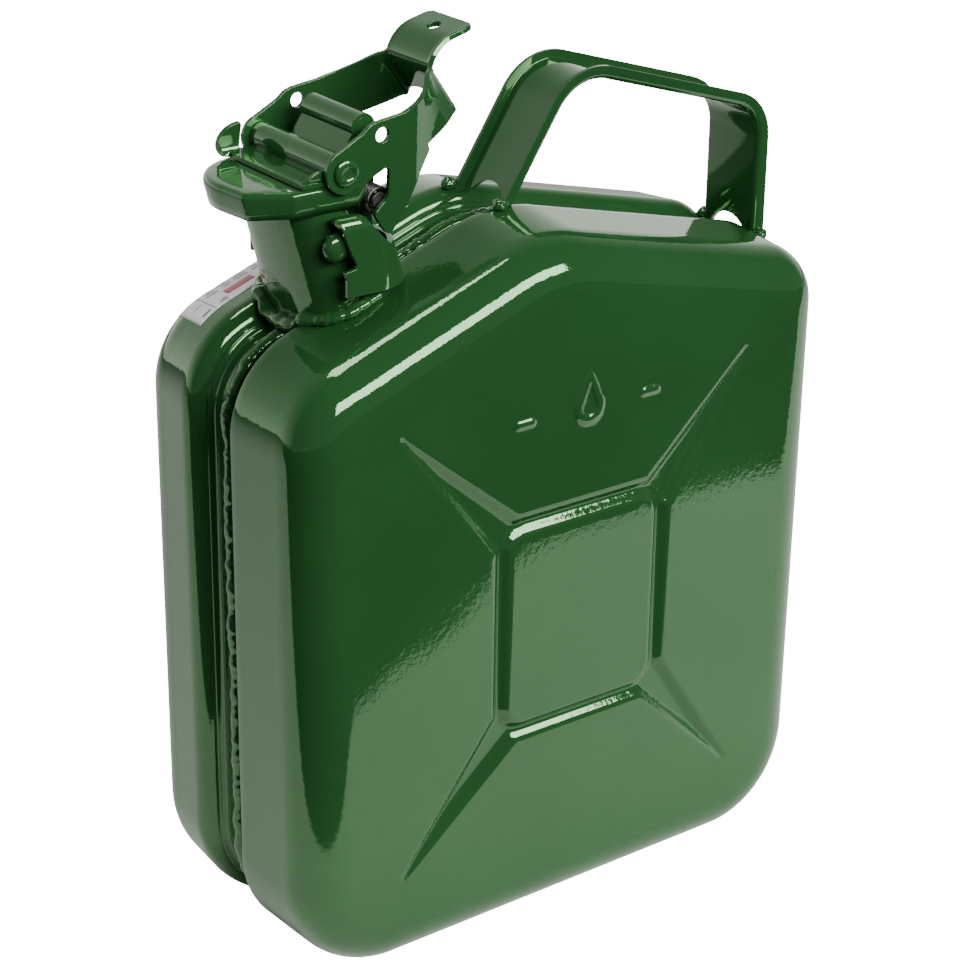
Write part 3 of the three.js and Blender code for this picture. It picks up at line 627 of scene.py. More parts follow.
def half_profile(rim_radius):
    """Section from the seam to the face: (inset from the outline, distance from Y = 0)."""
    floor_fillet = 2.5
    points = [Vector((GROOVE_DEPTH, y)) for y in (0.15, 2.5, 5, 7.2)]
    fillet_x = GROOVE_DEPTH - floor_fillet
    points += arc((fillet_x, GROOVE_HALF - floor_fillet), floor_fillet, 0, math.pi / 2, 5)
    for k in range(1, 3):
        x = fillet_x + (rim_radius - fillet_x) * k / 3
        if x < fillet_x - 0.3:
            points.append(Vector((x, GROOVE_HALF)))
    steps = 4 if rim_radius < 3 else 8
    points += arc((rim_radius, GROOVE_HALF + rim_radius), rim_radius, -math.pi / 2, -math.pi, steps)
    start = Vector((0, GROOVE_HALF + rim_radius))
    end = Vector((WALL_DRAFT, HALF_DEPTH - FACE_ROUNDING))
    points += [start.lerp(end, k / 9) for k in range(1, 9)]
    points += arc((WALL_DRAFT + FACE_ROUNDING, end.y), FACE_ROUNDING, math.pi, math.pi / 2, 12)
    return points


def half_body(name, rim_radius, side):
    profile = half_profile(rim_radius)
    rings = [outline(p.x) for p in profile]
    points = []
    for p, ring in zip(profile, rings):
        points += [Vector((q.x, side * p.y, q.y)) for q in ring]
    faces = []
    for quad in row_faces(len(profile), len(rings[0]), capped=False):
        middle = sum((points[v] for v in quad), Vector()) / 4
        if not in_neck(middle, -0.5):
            faces.append(quad)
    inner = outline(profile[-1].x + 2)
    coarse = 4
    extra = [Vector(p) for p in inner]
    for i in range(-110, 111):
        for j in range(2, 275):
            point = Vector((i, j))
            if (i % coarse or j % coarse) and not face_needs_detail(i, j):
                continue
            if inside(point, inner) and not near_loop(point, inner, 1.5):
                extra.append(point)
    for i in range(-60, 70):
        for j in range(-8, 34):
            point = Vector((i * 0.5 + 0.25, MARK_Z + j * 0.5 + 0.25))
            if mark_distance(point.x, point.y) < 1.5:
                extra.append(point)
    flat, triangles = fill([rings[-1]], extra)
    first = len(points)
    points += [Vector((q.x, side * (HALF_DEPTH - face_height(q.x, q.y)), q.y)) for q in flat]
    faces += [[first + i for i in t] for t in triangles]
    obj = add_mesh(name, points, faces, BODY)
    thicken(obj, SHEET)
    return obj


# ---- welds ----

def lump(point, size):
    """Repeatable bumpiness between -1 and 1 at a point, for lumps of the given size."""
    return noise.noise(Vector(point) / size)


def bead(name, path, radius, flat, seed, closed):
    """A lumpy weld along a path of (point, outward, sideways)."""
    around = 12
    points = []
    for i, (at, outward, sideways) in enumerate(path):
        pool = 0.05 * math.sin(i * 1.9 + 2.2 * lump(at + Vector((seed, 0, 0)), 5))
        swell = 0.4 * lump(at + Vector((0, seed, 0)), 5) + 0.16 * lump(at + Vector((seed, 0, seed)), 2)
        drift = 0.9 * lump(at + Vector((seed, seed, 0)), 9)
        for k in range(around):
            angle = math.tau * k / around
            r = radius * (1 + pool + swell)
            points.append(
                at + sideways * (r * math.cos(angle) + drift) + outward * (r * flat * math.sin(angle)))
    obj = add_mesh(name, points, row_faces(len(path), around, closed), WELD)
    smooth = obj.modifiers.new("smooth", "SUBSURF")
    smooth.levels = 1
    smooth.render_levels = 1
    return obj


def seam_path():
    """Round the bottom of the groove from one side of the neck to the other."""
    points = outline(GROOVE_DEPTH - 1.1, 1.1)
    path = []
    for i, p in enumerate(points):
        ahead = points[(i + 1) % len(points)] - points[i - 1]
        outward = Vector((ahead.y, 0, -ahead.x)).normalized()
        at = Vector((p.x, 0, p.y))
        path.append((at, outward, Vector((0, 1, 0))))
    start = next(
        i for i, item in enumerate(path) if in_neck(item[0], 3) and not in_neck(path[i - 1][0], 3))
    return [item for item in path[start:] + path[:start] if not in_neck(item[0], 2)]


def neck_foot_path(steps=150):
    """Round the neck where it meets the shoulder, dipping into the groove on both sides."""
    path = []
    for i in range(steps):
        angle = math.tau * i / steps
        z = shoulder_z(NECK["base_x"])
        for _ in range(8):
            foot = neck_point(z, angle)
            sink = max(0, 1 - (abs(foot.y) / 11) ** 4) * 4.5
            z = shoulder_z(foot.x) - sink
        foot = neck_point(z, angle, 1.2)
        ahead = neck_point(z, angle + 0.02) - neck_point(z, angle - 0.02)
        outward = Vector((ahead.y, -ahead.x, 0)).normalized()
        path.append((foot + Vector((0, 0, 0.8)), Vector((0, 0, 1)), outward))
    return path


def blob(name, centre, size, seed):
    """One drop of weld."""
    work = bmesh.new()
    bmesh.ops.create_icosphere(work, subdivisions=4, radius=1)
    points = []
    for vert in work.verts:
        direction = vert.co.normalized()
        swell = 1 + 0.22 * lump(direction * 3 + Vector((seed, 0, 0)), 2.2)
        swell += 0.10 * lump(direction * 3 + Vector((0, seed, 0)), 0.9)
        points.append(Vector(centre) + Vector(
            (direction.x * size[0], direction.y * size[1], direction.z * size[2])) * swell)
    faces = [[v.index for v in face.verts] for face in work.faces]
    work.free()
    return add_mesh(name, points, faces, WELD)


# ---- neck tube ----

def neck_mesh():
    around = 96
    wall = 1.6
    lip = 1.0
    low = NECK_LOW.z
    high = NECK_HIGH.z
    heights = [low + (high - lip - low) * k / 10 for k in range(11)]
    rows = [(z, 0.0) for z in heights]
    for a in (0.5, 1.0, math.pi / 2, 2.1, 2.6):
        rows.append((high - lip + lip * math.sin(a), -wall / 2 + wall / 2 * math.cos(a)))
    rows += [(z, -wall) for z in reversed(heights)]
    points = []
    for z, grow in rows:
        points += [neck_point(z, math.tau * i / around, grow) for i in range(around)]
    return add_mesh("neck_tube", points, row_faces(len(rows), around, closed=True), BODY)


# ---- lever ----

HINGE = Vector((-65.8, 291.3))
PIVOT = Vector((-81.4, 304.6))
TUBE = Vector((-66.5, 315))
CHEEK_Y = 26.2
LEVER_SKIN = 2.0
WEB_X = -29.5
WEB_HALF = 13.5
WEB_TOP = 328.5
WEB_LEAN = 0.68    # how far the web leans per millimetre below WEB_UPRIGHT_Z
WEB_UPRIGHT_Z = 318.5
TAB_HALF = 13.3
CHEEK_END_X = -95


def lever_mesh():
    """One bent sheet: cheek, fold, leaning cross web, fold, cheek, and the thumb tab above it."""
    walk = Walk(rounded_path(
        [(WEB_X, 0), (WEB_X, WEB_HALF), (-54, CHEEK_Y), (CHEEK_END_X, CHEEK_Y)], [3.5, 24]))
    fold = walk.length - 45
    tab = Walk(rounded_path([(0, 0), (-0.6, 3.2), (3.6, 10.2), (17.6, 13.8)], [5, 13], 5))

    def point_at(w, v):
        reach = abs(w)
        at, _ = walk(reach)
        in_web = 1 - smooth_step((reach - WEB_HALF) / (fold - WEB_HALF))
        lean = WEB_LEAN * (WEB_UPRIGHT_Z - v) * in_web
        spot = Vector((at.x, math.copysign(at.y, w), v))
        in_tab = 1 - smooth_step((reach - TAB_HALF) / 2.4)
        if v > WEB_TOP and in_tab > 0:
            lean_top = WEB_LEAN * (WEB_UPRIGHT_Z - WEB_TOP)
            bent, _ = tab(v - WEB_TOP)
            lean += (lean_top + bent.x - lean) * in_tab
            spot.z = v + (WEB_TOP + bent.y - v) * in_tab
        spot.x += lean
        return spot

    def on_cheek(x):
        return walk.length + CHEEK_END_X - x

    half = [Vector(p) for p in lever_half_outline(on_cheek, fold, WEB_TOP + tab.length)]
    other = [Vector((-p.x, p.y)) for p in reversed(half[1:-1])]
    loops = [half + other]
    for side in (-1, 1):
        loops.append([Vector((side * on_cheek(p.x), p.y)) for p in circle(TUBE, 2.6)])
        loops.append([Vector((side * on_cheek(p.x), p.y)) for p in circle(PIVOT, 2.7)])
    loops.append(circle(Vector((0, WEB_TOP + tab.length - 8)), 2.6))
    return sheet("lever_sheet", loops, with_normals(point_at), LEVER_SKIN, 1.5, FITTING, 0.45)


def lever_half_outline(on_cheek, fold, tab_top):
    """Half of the flat lever blank, as (distance from the middle of the web, height)."""
    corner = 3.5
    lobe = arc(PIVOT, 7.5, math.radians(108), math.radians(302), 26)
    points = [(0, tab_top), (TAB_HALF - corner, tab_top)]
    points += arc((TAB_HALF - corner, tab_top - corner), corner, math.pi / 2, 0, 6)[1:]
    points += bezier((TAB_HALF, 333), (TAB_HALF, 331.2), (TAB_HALF + 1.6, 330.4), 5)
    points += bezier((TAB_HALF + 1.6, 330.4), (TAB_HALF + 12, 328), (fold, 323.6), 10)[1:]
    top_edge = [(-58, 321.2), (-68.5, 319.9), (-71.5, 318.9), (-74.4, 316.5)]
    points += [(on_cheek(x), z) for x, z in top_edge]
    points += [(on_cheek(p.x), p.y) for p in lobe]
    window = [
        (-74.9, 298.6), (-70, 301.2), (-65.4, 303.4), (-64.2, 303.2), (-63.8, 302), (-64.2, 294.2),
        (-65, 292.6), (-69.4, 288.6), (-69.6, 287.2), (-65.6, 281.2), (-64, 280.2), (-62.6, 280.6),
    ]
    points += [(on_cheek(x), z) for x, z in window]
    points += [(fold, 297.8), (on_cheek(-44.6), 305.2), (on_cheek(-45.2), 307.4)]
    points.append((WEB_HALF + 3.4, 313.6))
    points += bezier((WEB_HALF + 0.5, 314.2), (WEB_HALF - 3, 319.6), (0, 319.8), 10)
    return points


# ---- strap ----

def strap_meshes():
    """Strip welded to the lid and rolled into two tubes, with end leaves and arms to the hinge."""
    skin = 1.7
    foot_z = 301.2
    curl = 4.3
    roll = 4.0
    over = arc(PIVOT, curl, math.radians(212), math.radians(-32), 26)
    around = arc(TUBE, roll, math.radians(205), math.radians(-125), 34)
    front = rounded_path([(-96.6, foot_z), (-86.2, foot_z), over[0]], [1.6])
    valley = bezier(over[-1], (PIVOT.x + 4.4, foot_z + 0.4), over[-1].lerp(around[0], 0.34), 5)
    walk = Walk(front + over[1:] + valley[1:] + around)
    wide_end = Walk(front + over[1:]).length
    half_wide = 24.6
    half_narrow = 15.6

    def place(s, y):
        at, normal = walk(s)
        return Vector((at.x, y, at.y)), Vector((normal.x, 0, normal.y))

    blank = [
        (0, -half_wide), (wide_end, -half_wide), (wide_end + 1.5, -half_narrow),
        (walk.length, -half_narrow), (walk.length, half_narrow), (wide_end + 1.5, half_narrow),
        (wide_end, half_wide), (0, half_wide),
    ]
    parts = [sheet("strap_sheet", [[Vector(p) for p in blank]], place, skin, 0.8, FITTING, 0.3)]
    foot = foot_z - skin / 2
    leaves = {
        1: [(-98.4, 300.4), (-92.4, 300.4), (-91.8, 303), (-92.4, 307.2), (-94, 312),
            (-96.6, 312.2), (-99.8, 310.6), (-101.4, 307.4), (-101.2, 304), (-99.8, 301.6)],
        -1: [(-96.2, 300.4), (-86, 300.4), (-85.6, 302.8), (-87, 305.4), (-90.4, 305.6),
             (-93.4, 304.2), (-95.4, 302.4)],
    }
    for side, leaf in leaves.items():
        def curled(u, v, side=side):
            rise = v - foot
            bend = 1 - smooth_step(rise / 3.4)
            return Vector((u + 0.02 * rise * rise, side * (23.7 - 1.8 * bend - 0.012 * rise * rise), v))

        loop = smooth_loop([Vector(p) for p in leaf])
        parts.append(sheet("strap_leaf", [loop], with_normals(curled), skin, 1.0, FITTING, 0.4))
        arm = capsule_loop(HINGE, TUBE, 3.5)
        inner, outer = sorted((side * 13.1, side * 15.7))
        parts.append(plate("strap_arm", [arm, circle(HINGE, 2.3)], inner, outer, FITTING, 0.4))
    return parts


def smooth_loop(points):
    """A closed loop with its corners cut twice, which rounds it."""
    for _ in range(2):
        cut = []
        for i, here in enumerate(points):
            there = points[(i + 1) % len(points)]
            cut += [here.lerp(there, 0.25), here.lerp(there, 0.75)]
        points = cut
    return points


def capsule_loop(a, b, radius):
    """Outline of a bar with round ends centred on a and b."""
    angle = math.atan2(b.y - a.y, b.x - a.x)
    points = arc(b, radius, angle - math.pi / 2, angle + math.pi / 2, 14)
    points += arc(a, radius, angle + math.pi / 2, angle + math.pi * 1.5, 14)
    return points


# ---- lid ----

LID_LOW = 290.5
LID_HIGH = 300
LID_HALF = 24.6
LID_RIGHT = -70.5
NOSE_CENTRE_X = -92


def lid_loop(inset):
    """Plan of the lid: an oval nose with a flat struck across its front corner."""
    half_x = 24 - inset
    half_y = LID_HALF - inset
    nose = []
    for k in range(41):
        angle = math.pi / 2 + math.radians(100) * k / 40
        nose.append(Vector((NOSE_CENTRE_X + half_x * math.cos(angle), half_y * math.sin(angle))))
    right = LID_RIGHT - inset
    corners = [nose[-1], (-114.4 + inset, -15.8), (-99.2 + inset * 0.4, -half_y), (right, -half_y),
               (right, half_y), nose[0]]
    return nose + rounded_path(corners, [1.2, 1.6, 2, 2], 20)[1:-1]


def lid_mesh():
    low, high = LID_LOW, LID_HIGH
    edge = 1.9
    count = 180
    rows = [(low, 1.5), (low + 3, 0.85), (high - edge - 1.5, 0.1), (high - edge, 0)]
    for a in (0.35, 0.75, 1.15, math.pi / 2):
        rows.append((high - edge + edge * math.sin(a), edge * (1 - math.cos(a))))
    rings = [even_loop(lid_loop(inset), count) for _, inset in rows]
    points = []
    for (z, _), ring in zip(rows, rings):
        points += [Vector((p.x, p.y, z)) for p in ring]
    faces = row_faces(len(rows), count, capped=False)
    flat, triangles = fill([rings[-1]], grid_points([rings[-1]], 3))
    first = len(points)
    points += [Vector((p.x, p.y, high)) for p in flat]
    faces += [[first + i for i in t] for t in triangles]
    obj = add_mesh("lid_cap", points, faces, FITTING)
    sharp_by_angle(obj, 28)
    thicken(obj, 1.4)
    return obj


def even_loop(loop, count):
    """The same closed loop with evenly spaced points, starting at its first point."""
    closed = loop + [loop[0]]
    lengths = [0.0]
    for a, b in zip(closed, closed[1:]):
        lengths.append(lengths[-1] + (b - a).length)
    points = []
    k = 0
    for i in range(count):
        target = lengths[-1] * i / count
        while lengths[k + 1] < target:
            k += 1
        t = (target - lengths[k]) / max(lengths[k + 1] - lengths[k], 0.00001)
        points.append(closed[k].lerp(closed[k + 1], t))
    return points


# ---- bracket, pins, springs ----

def bracket_meshes():
    """Collar bent round the neck, with ears, turned-in top flanges and pin lugs."""
    low, high = 262, 288
    lean = (NECK["top_x"] - NECK["base_x"]) / (NECK_HIGH.z - NECK_LOW.z)
    right = -53
    ear_y = 30.4
    plan = rounded_path([(-92, -ear_y), (right, -ear_y), (right, ear_y), (-92, ear_y)], [17, 17], 6)
    walk = Walk(plan)
    middle = walk.length / 2
    band_top = 277
    flange = 4.5
    bend = 2.4

    def place(s, v):
        at, normal = walk(s + middle)
        shift = (min(v, high) - low) * lean
        over = max(v - (high - 2), 0)
        turn = min(over / bend, math.pi / 2)
        inward = Vector((normal.x, normal.y, 0))
        spot = Vector((at.x + shift * smooth_step((at.x + 92) / 20), at.y, min(v, high - 2)))
        spot += inward * (bend * (1 - math.cos(turn)) + max(over - bend * math.pi / 2, 0))
        spot.z += bend * math.sin(turn)
        up = Vector((0, 0, 1))
        return spot, (inward * math.cos(turn) - up * math.sin(turn)).normalized()

    ear = middle    # the ears' free ends, as a distance along the collar
    side = [
        (0, low), (ear - 8.4, low), (ear - 9.4, 268.5), (ear - 8.6, 271.2), (ear - 14.6, 272),
        (ear - 15.4, 273), (ear - 12.6, 284), (ear - 11.6, 286), (ear - 9.2, high + 1),
        (ear - 10, high + flange), (ear - 24.5, high + flange), (ear - 26, high - 1),
        (ear - 30.5, band_top + 3), (ear - 34, band_top), (0, band_top),
    ]
    loop = [Vector(p) for p in side] + [Vector((-p[0], p[1])) for p in reversed(side)]
    tidy = [p for i, p in enumerate(loop) if (p - loop[i - 1]).length > 0.01]
    parts = [sheet("bracket_sheet", [tidy], place, 2.0, 1.5, FITTING, 0.5)]
    lug = [(HINGE.x - 4.2, low + 4), (-57, low + 4), (-60, band_top)]
    lug += [(p.x, p.y) for p in arc(HINGE, 4.2, 0, math.pi, 14)]
    for side_of in (-1, 1):
        inner, outer = sorted((side_of * 10.2, side_of * 12.2))
        loops = [[Vector(p) for p in lug], circle(HINGE, 2.3)]
        parts.append(plate("bracket_lug", loops, inner, outer, FITTING, 0.4))
    return parts


def spring_mesh(side):
    """A coil on the hinge pin with its lower end running down beside the bracket."""
    radius = 4.4
    turns = 5.5
    steps = 30
    from_y, to_y = 16.9, 23.4
    path = [Vector((HINGE.x + radius, side * from_y, HINGE.y - 9 + k * 3)) for k in range(3)]
    total = round(turns * steps)
    for i in range(total + 1):
        angle = math.tau * i / steps
        y = side * (from_y + (to_y - from_y) * i / total)
        path.append(Vector((HINGE.x + radius * math.cos(angle), y, HINGE.y + radius * math.sin(angle))))
    return wire("spring_wire", path, 0.62, STEEL)


def stud_mesh(side):
    dome = [(0.2, 28.9), (1.8, 28.8), (3.4, 28.3), (4.6, 27.4), (5.2, 26.4), (5.2, 25.6), (4.7, 25)]
    section = dome + [(3.2, 24.8), (3.2, 19.5)]
    return turned("stud_round", [(r, side * y) for r, y in section], (-84.6, 279), FITTING)


def lever_pin_mesh():
    end = 29
    section = [(0.2, end - 0.7), (2.2, end - 0.6), (2.9, end), (3.8, end - 0.1)]
    section += [(4.5, end - 0.6), (4.7, 27.6), (2.3, 27.5)]
    mirrored = [(r, -y) for r, y in reversed(section)]
    return turned("lever_pin_round", section + mirrored, PIVOT, FITTING)


def hinge_pin_mesh():
    end = 24.4
    section = [(0.2, end), (2.6, end), (3.1, end - 0.5), (3.1, end - 1), (2, end - 1)]
    mirrored = [(r, -y) for r, y in reversed(section)]
    return turned("hinge_pin_round", section + mirrored, HINGE, STEEL)


# ---- handle ----

HANDLE_POINTS = [(-8.9, 273.6), (24.5, 325.2), (119.4, 296.3), (119.6, 238)]
ARCH_CENTRES = [(-6.5, 269.8), (115.6, 237.4)]
ARCH_RADIUS = 11


def handle_section():
    """Channel section: (depth below the free edge, y)."""
    half_y = 15
    flange = 5
    skin = 1.6
    bend = 2.4
    outer = [(0, -half_y), (flange, -half_y), (flange, half_y), (0, half_y)]
    in_y, in_x = half_y - skin, flange - skin
    inner = [(0, in_y), (in_x, in_y), (in_x, -in_y), (0, -in_y)]
    return rounded_path(outer, [bend, bend], 22) + rounded_path(inner, [bend - skin, bend - skin], 22)


def handle_mesh():
    """Channel strip, its left foot run on into the body, cut to the body and arched at the feet."""
    line = [Vector(p) for p in HANDLE_POINTS]
    line[0] -= (line[1] - line[0]).normalized() * 9
    walk = Walk(rounded_path(line, [24, 20], 3))
    section = handle_section()
    stations = spread(walk.at, 2.5)
    points = []
    for s in stations:
        at, left = walk(s)
        points += [Vector((at.x - left.x * p.x, p.y, at.y - left.y * p.x)) for p in section]
    obj = add_mesh("handle_channel", points, row_faces(len(stations), len(section)), FITTING)
    cutters = handle_cutters()
    for cutter in cutters:
        cut = obj.modifiers.new("cut", "BOOLEAN")
        cut.operation = "DIFFERENCE"
        cut.object = cutter
        cut.solver = "EXACT"
    bpy.context.view_layer.objects.active = obj
    for modifier in list(obj.modifiers):
        bpy.ops.object.modifier_apply(modifier=modifier.name)
    for cutter in cutters:
        bpy.data.objects.remove(cutter)
    sharp_by_angle(obj, 40)
    return obj


def spread(marks, step):
    """The given distances, with more added so that no two are further apart than step."""
    out = []
    for a, b in zip(marks, marks[1:]):
        count = max(1, math.ceil((b - a) / step))
        out += [a + (b - a) * k / count for k in range(count)]
    return out + [marks[-1]]


def handle_cutters():
    """A block in the shape of the body, and a round bar for the arch in each foot."""
    ring = outline(-0.15)
    ends = [[Vector((p.x, y, p.y)) for p in ring] for y in (-60, 60)]
    faces = row_faces(2, len(ring))
    cutters = [add_mesh("handle_cutter_body", ends[0] + ends[1], faces, FITTING, False)]
    for x, z in ARCH_CENTRES:
        rim = circle(Vector((0, z)), ARCH_RADIUS, 48)
        ends = [[Vector((end, p.x, p.y)) for p in rim] for end in (x - 12, x + 12)]
        faces = row_faces(2, len(rim))
        cutters.append(add_mesh("handle_cutter_arch", ends[0] + ends[1], faces, FITTING, False))
    return cutters


# ---- sticker ----

def sticker_meshes():
    """Blank label with plain bars and one block, wrapped over the rear half's shoulder."""
    base = outline(0, 1.0)
    start = min(range(len(base)), key=lambda i: abs(base[i].x + 73) + abs(base[i].y - 266))
    walk = Walk([base[(start + k) % len(base)] for k in range(60)])
    wall_start = GROOVE_HALF + REAR_RIM_RADIUS
    wall_end = HALF_DEPTH - FACE_ROUNDING

    def inset_at(y):
        if y < wall_end:
            return WALL_DRAFT * (y - wall_start) / (wall_end - wall_start)
        drop = FACE_ROUNDING - math.sqrt(FACE_ROUNDING ** 2 - (y - wall_end) ** 2)
        return WALL_DRAFT + drop

    def placer(lift):
        def place(u, y):
            at, left = walk(u)
            inset = inset_at(y) - lift
            slope = inset_at(y + 0.1) - inset_at(y)
            inward = Vector((left.x, 0, left.y))
            normal = (Vector((0, 1, 0)) * slope * 10 - inward).normalized()
            return Vector((at.x, y, at.y)) + inward * inset, normal
        return place

    length = 38
    low_y, high_y = 27, 49

    def patch(u0, u1, v0, v1, lift, material, thickness=0.04):
        loop = [Vector(p) for p in ((u0, v0), (u1, v0), (u1, v1), (u0, v1))]
        return sheet("label_patch", [loop], placer(lift), thickness, 1.5, material, 0)

    parts = [patch(0, length, low_y, high_y, 0.12, PAPER, 0.12)]
    ink_lift = 0.21
    marks = [(9, 21, 5, 9.4, RED_INK), (28.8, 29.1, 1, 20.5, GREY_INK)]
    marks += [(30.5, 34.5, 9.8, 10.2, GREY_INK), (30.5, 34.5, 2.2, 3.2, GREY_INK)]
    for row in range(5):
        for k, (a, b) in enumerate(((3, 6.5), (8, 14), (15.2, 20), (21.5, 27))):
            v = 11.4 + row * 1.9
            from_u = a + 0.3 * ((row + k) % 3)
            to_u = b - 0.7 * ((row * 2 + k) % 3)
            marks.append((from_u, to_u, v, v + 0.55, GREY_INK))
    marks += [(22.5, 26.5 - row, 2 + row, 2.5 + row, GREY_INK) for row in range(3)]
    for u0, u1, v0, v1, material in marks:
        parts.append(patch(u0, u1, low_y + v0, low_y + v1, ink_lift, material))
    return parts


# ---- build ----

HANDLE_DROPS = {
    "handle_weld_left_front": 5, "handle_weld_left_rear": 8,
    "handle_weld_right_front": 12, "handle_weld_right_rear": 17,
}


def drop_piece(node, seed):
    low, high = node_box(node)
    parts = [blob(node + "_drop", (low + high) / 2, (2.8, 2.8, 2.4), seed)]
    return node + "_drop", parts, "can", node, "weld_enamel"


# Piece name, its meshes, the body it rides on, the node it replaces and its material slot.
PIECES = [
    ("front_half", [half_body("front_half", FRONT_RIM_RADIUS, -1)], "can", "front_shell", "body_enamel"),
    ("rear_half", [half_body("rear_half", REAR_RIM_RADIUS, 1)], "can", "rear_shell", "body_enamel"),
    ("seam_weld", [bead("seam_weld", seam_path(), 2.8, 0.8, 3, False)], "can", "seam_weld_bead",
     "weld_enamel"),
    ("neck_weld", [bead("neck_weld", neck_foot_path(), 3.5, 0.75, 11, True)], "can",
     "neck_weld_bead", "weld_enamel"),
    ("neck_tube", [neck_mesh()], "can", "neck", "body_enamel"),
    *[drop_piece(node, seed) for node, seed in HANDLE_DROPS.items()],
    ("bracket_collar", bracket_meshes(), "can", "hinge_bracket", "fitting_enamel"),
    ("stud_dome_front", [stud_mesh(-1)], "can", "stud_front", "fitting_enamel"),
    ("stud_dome_rear", [stud_mesh(1)], "can", "stud_rear", "fitting_enamel"),
    ("spring_front", [spring_mesh(-1)], "can", "torsion_spring_front", "bare_steel"),
    ("spring_rear", [spring_mesh(1)], "can", "torsion_spring_rear", "bare_steel"),
    ("hinge_rod", [hinge_pin_mesh()], "can", "hinge_pin", "bare_steel"),
    ("lid_cap", [lid_mesh()], "lid_assembly", "lid", "fitting_enamel"),
    ("strap_roll", strap_meshes(), "lid_assembly", "lid_strap", "fitting_enamel"),
    ("lever_sheet", [lever_mesh()], "lever_assembly", "locking_lever", "fitting_enamel"),
    ("lever_rivet", [lever_pin_mesh()], "lever_assembly", "lever_pin", "fitting_enamel"),
    ("handle_channel", [handle_mesh()], "can", "carrying_handle", "body_enamel"),
    ("label", sticker_meshes(), "can", "sticker", "sticker_vinyl"),
]
for name, parts, body, node, slot in PIECES:
    piece = join(name, parts, body)
    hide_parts(node)

# Pieces hidden inside the can keep their frame meshes and only get a material.
for node, material in {"breather_tube": STEEL, "lid_gasket": RUBBER}.items():
    NODES[node].data.materials.clear()
    NODES[node].data.materials.append(material)


# ---- floor, light and camera ----

def stage_plane(name, corners, material, camera=True):
    mesh = bpy.data.meshes.new(name)
    mesh.from_pydata(corners, [], [(0, 1, 2, 3)])
    obj = bpy.data.objects.new(name, mesh)
    bpy.context.scene.collection.objects.link(obj)
    mesh.materials.append(material)
    obj.visible_camera = camera


def floor_material():
    """White paper that glows for the camera only, so reflections see it as it is lit."""
    material, tree, shader = new_material("floor")
    grain = noise_node(tree, 3, 2)
    paper_white = ramp_node(tree, grain.outputs["Fac"], [
        (0.2, (0.90, 0.90, 0.90, 1)), (0.8, (0.93, 0.93, 0.93, 1))])
    tree.links.new(paper_white, shader.inputs["Base Color"])
    shader.inputs["Roughness"].default_value = 0.9
    shader.inputs["Specular IOR Level"].default_value = 0.0
    shader.inputs["Emission Color"].default_value = (1, 1, 1, 1)
    path = tree.nodes.new("ShaderNodeLightPath")
    glow = tree.nodes.new("ShaderNodeMath")
    glow.operation = "MULTIPLY"
    glow.inputs[1].default_value = FLOOR_GLOW
    tree.links.new(path.outputs["Is Camera Ray"], glow.inputs[0])
    tree.links.new(glow.outputs[0], shader.inputs["Emission Strength"])
    return material


def dull_black(name):
    return grainy(
        name, 5, 2, [(0.2, (0.015, 0.015, 0.015, 1)), (0.8, (0.0165, 0.0165, 0.0165, 1))],
        roughness=1.0, specular=0.0)


FLOOR_GLOW = 16.0
FLOOR_Z = -0.0002
CARD_Z = 0.002
FLOOR_HALF = 6
FLOOR_SIGNS = [(-1, -1), (1, -1), (1, 1), (-1, 1)]
stage_plane(
    "floor", [(x * FLOOR_HALF, y * FLOOR_HALF, FLOOR_Z) for x, y in FLOOR_SIGNS], floor_material())

# Dark cards on the floor in front of the can and beside it; only reflections see them.
stage_plane("dark_card", [
    (-2.5, -3.5, CARD_Z), (3.5, -3.5, CARD_Z), (3.5, -0.323, CARD_Z), (0.19, -0.323, CARD_Z)],
    dull_black("dark_card"), camera=False)
stage_plane("dark_card_left", [
    (-2.5, -3.5, CARD_Z), (0.19, -0.323, CARD_Z), (0.024, -0.233, CARD_Z), (-2.5, 1.1, CARD_Z)],
    dull_black("dark_card_left"), camera=False)


def area_light(name, position, target, size_x, size_y, power):
    data = bpy.data.lights.new(name, "AREA")
    data.shape = "RECTANGLE"
    data.size = size_x
    data.size_y = size_y
    data.energy = power
    obj = bpy.data.objects.new(name, data)
    bpy.context.scene.collection.objects.link(obj)
    obj.location = position
    direction = Vector(target) - Vector(position)
    obj.rotation_euler = direction.to_track_quat("-Z", "Y").to_euler()


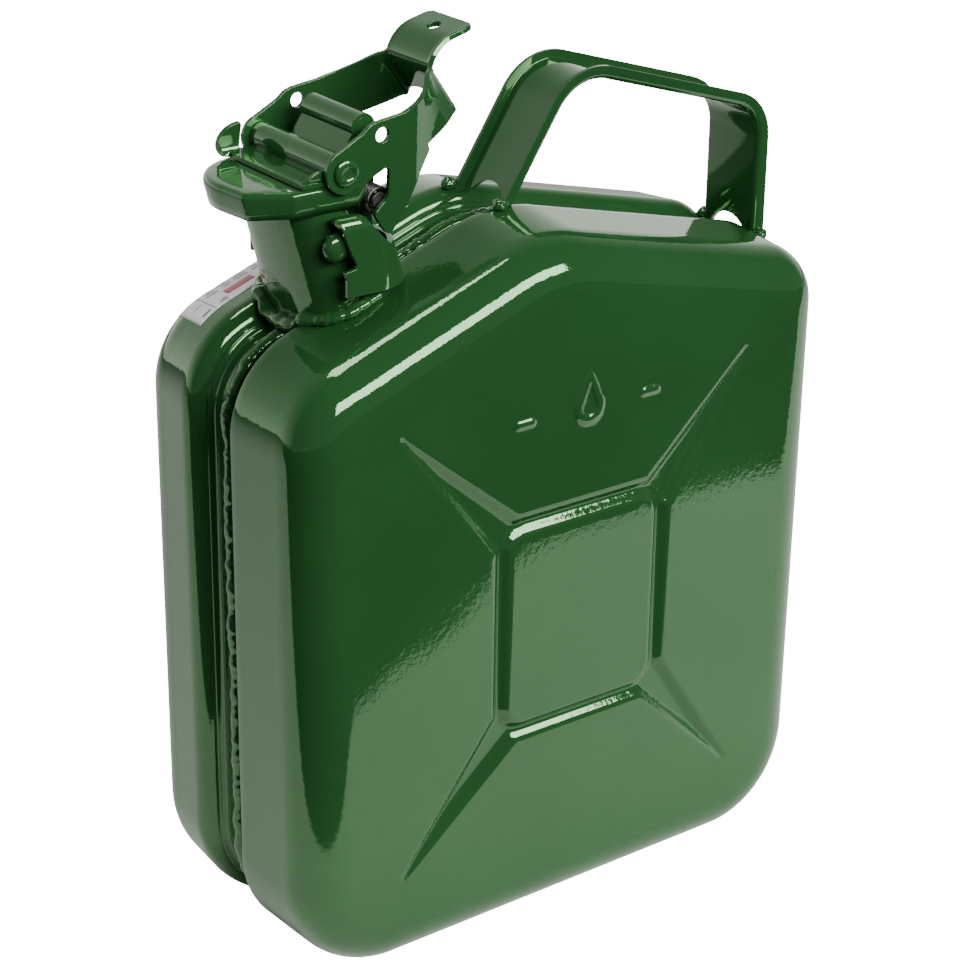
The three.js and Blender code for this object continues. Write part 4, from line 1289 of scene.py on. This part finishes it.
area_light("front_softbox", (0.25, -1.55, 1.2), (0, 0, 0.15), 1.9, 0.5, 60)
area_light("top_fill", (-0.2, 0.3, 2.2), (0, 0, 0.2), 0.6, 0.6, 14)


def world_light():
    """White low down behind the can, darker higher up, and dark in front of it."""
    world = bpy.data.worlds.new("studio")
    bpy.context.scene.world = world
    world.use_nodes = True
    tree = world.node_tree
    background = tree.nodes["Background"]
    coords = tree.nodes.new("ShaderNodeTexCoord")
    split = tree.nodes.new("ShaderNodeSeparateXYZ")
    tree.links.new(coords.outputs["Generated"], split.inputs["Vector"])
    front_to_back = ramp_node(tree, split.outputs["Y"], [
        (0.0, (0.10, 0.10, 0.11, 1)), (0.2, (0.5, 0.5, 0.5, 1)), (0.55, (1, 1, 1, 1))])
    low_to_high = ramp_node(tree, split.outputs["Z"], [
        (0.0, (1.0, 1.0, 1.0, 1)), (0.3, (0.55, 0.55, 0.55, 1)), (0.7, (0.22, 0.22, 0.22, 1))])
    both = tree.nodes.new("ShaderNodeMix")
    both.data_type = "RGBA"
    both.blend_type = "MULTIPLY"
    both.inputs["Factor"].default_value = 1.0
    tree.links.new(front_to_back, both.inputs["A"])
    tree.links.new(low_to_high, both.inputs["B"])
    tree.links.new(both.outputs["Result"], background.inputs["Color"])
    background.inputs["Strength"].default_value = 1.6


world_light()

TARGET = (Vector((-9.6, -7.5, 168.3)) + TO_GROUND) * MM
AZIMUTH = math.radians(-36.69)
ELEVATION = math.radians(23.94)
DISTANCE = 946.3 * MM
ROLL = math.radians(0.82)
LENS = 95.1


def aim_camera():
    """Long lens from the front left and a little above, rolled slightly."""
    data = bpy.data.cameras.new("camera")
    data.lens = LENS
    data.sensor_width = 36
    camera = bpy.data.objects.new("camera", data)
    bpy.context.scene.collection.objects.link(camera)
    back = Vector((
        math.sin(AZIMUTH) * math.cos(ELEVATION), -math.cos(AZIMUTH) * math.cos(ELEVATION),
        math.sin(ELEVATION)))
    camera.location = TARGET + back * DISTANCE
    rotation = back.to_track_quat("Z", "Y").to_matrix()
    camera.rotation_euler = (rotation @ Matrix.Rotation(ROLL, 3, "Z")).to_euler()
    bpy.context.scene.camera = camera


aim_camera()
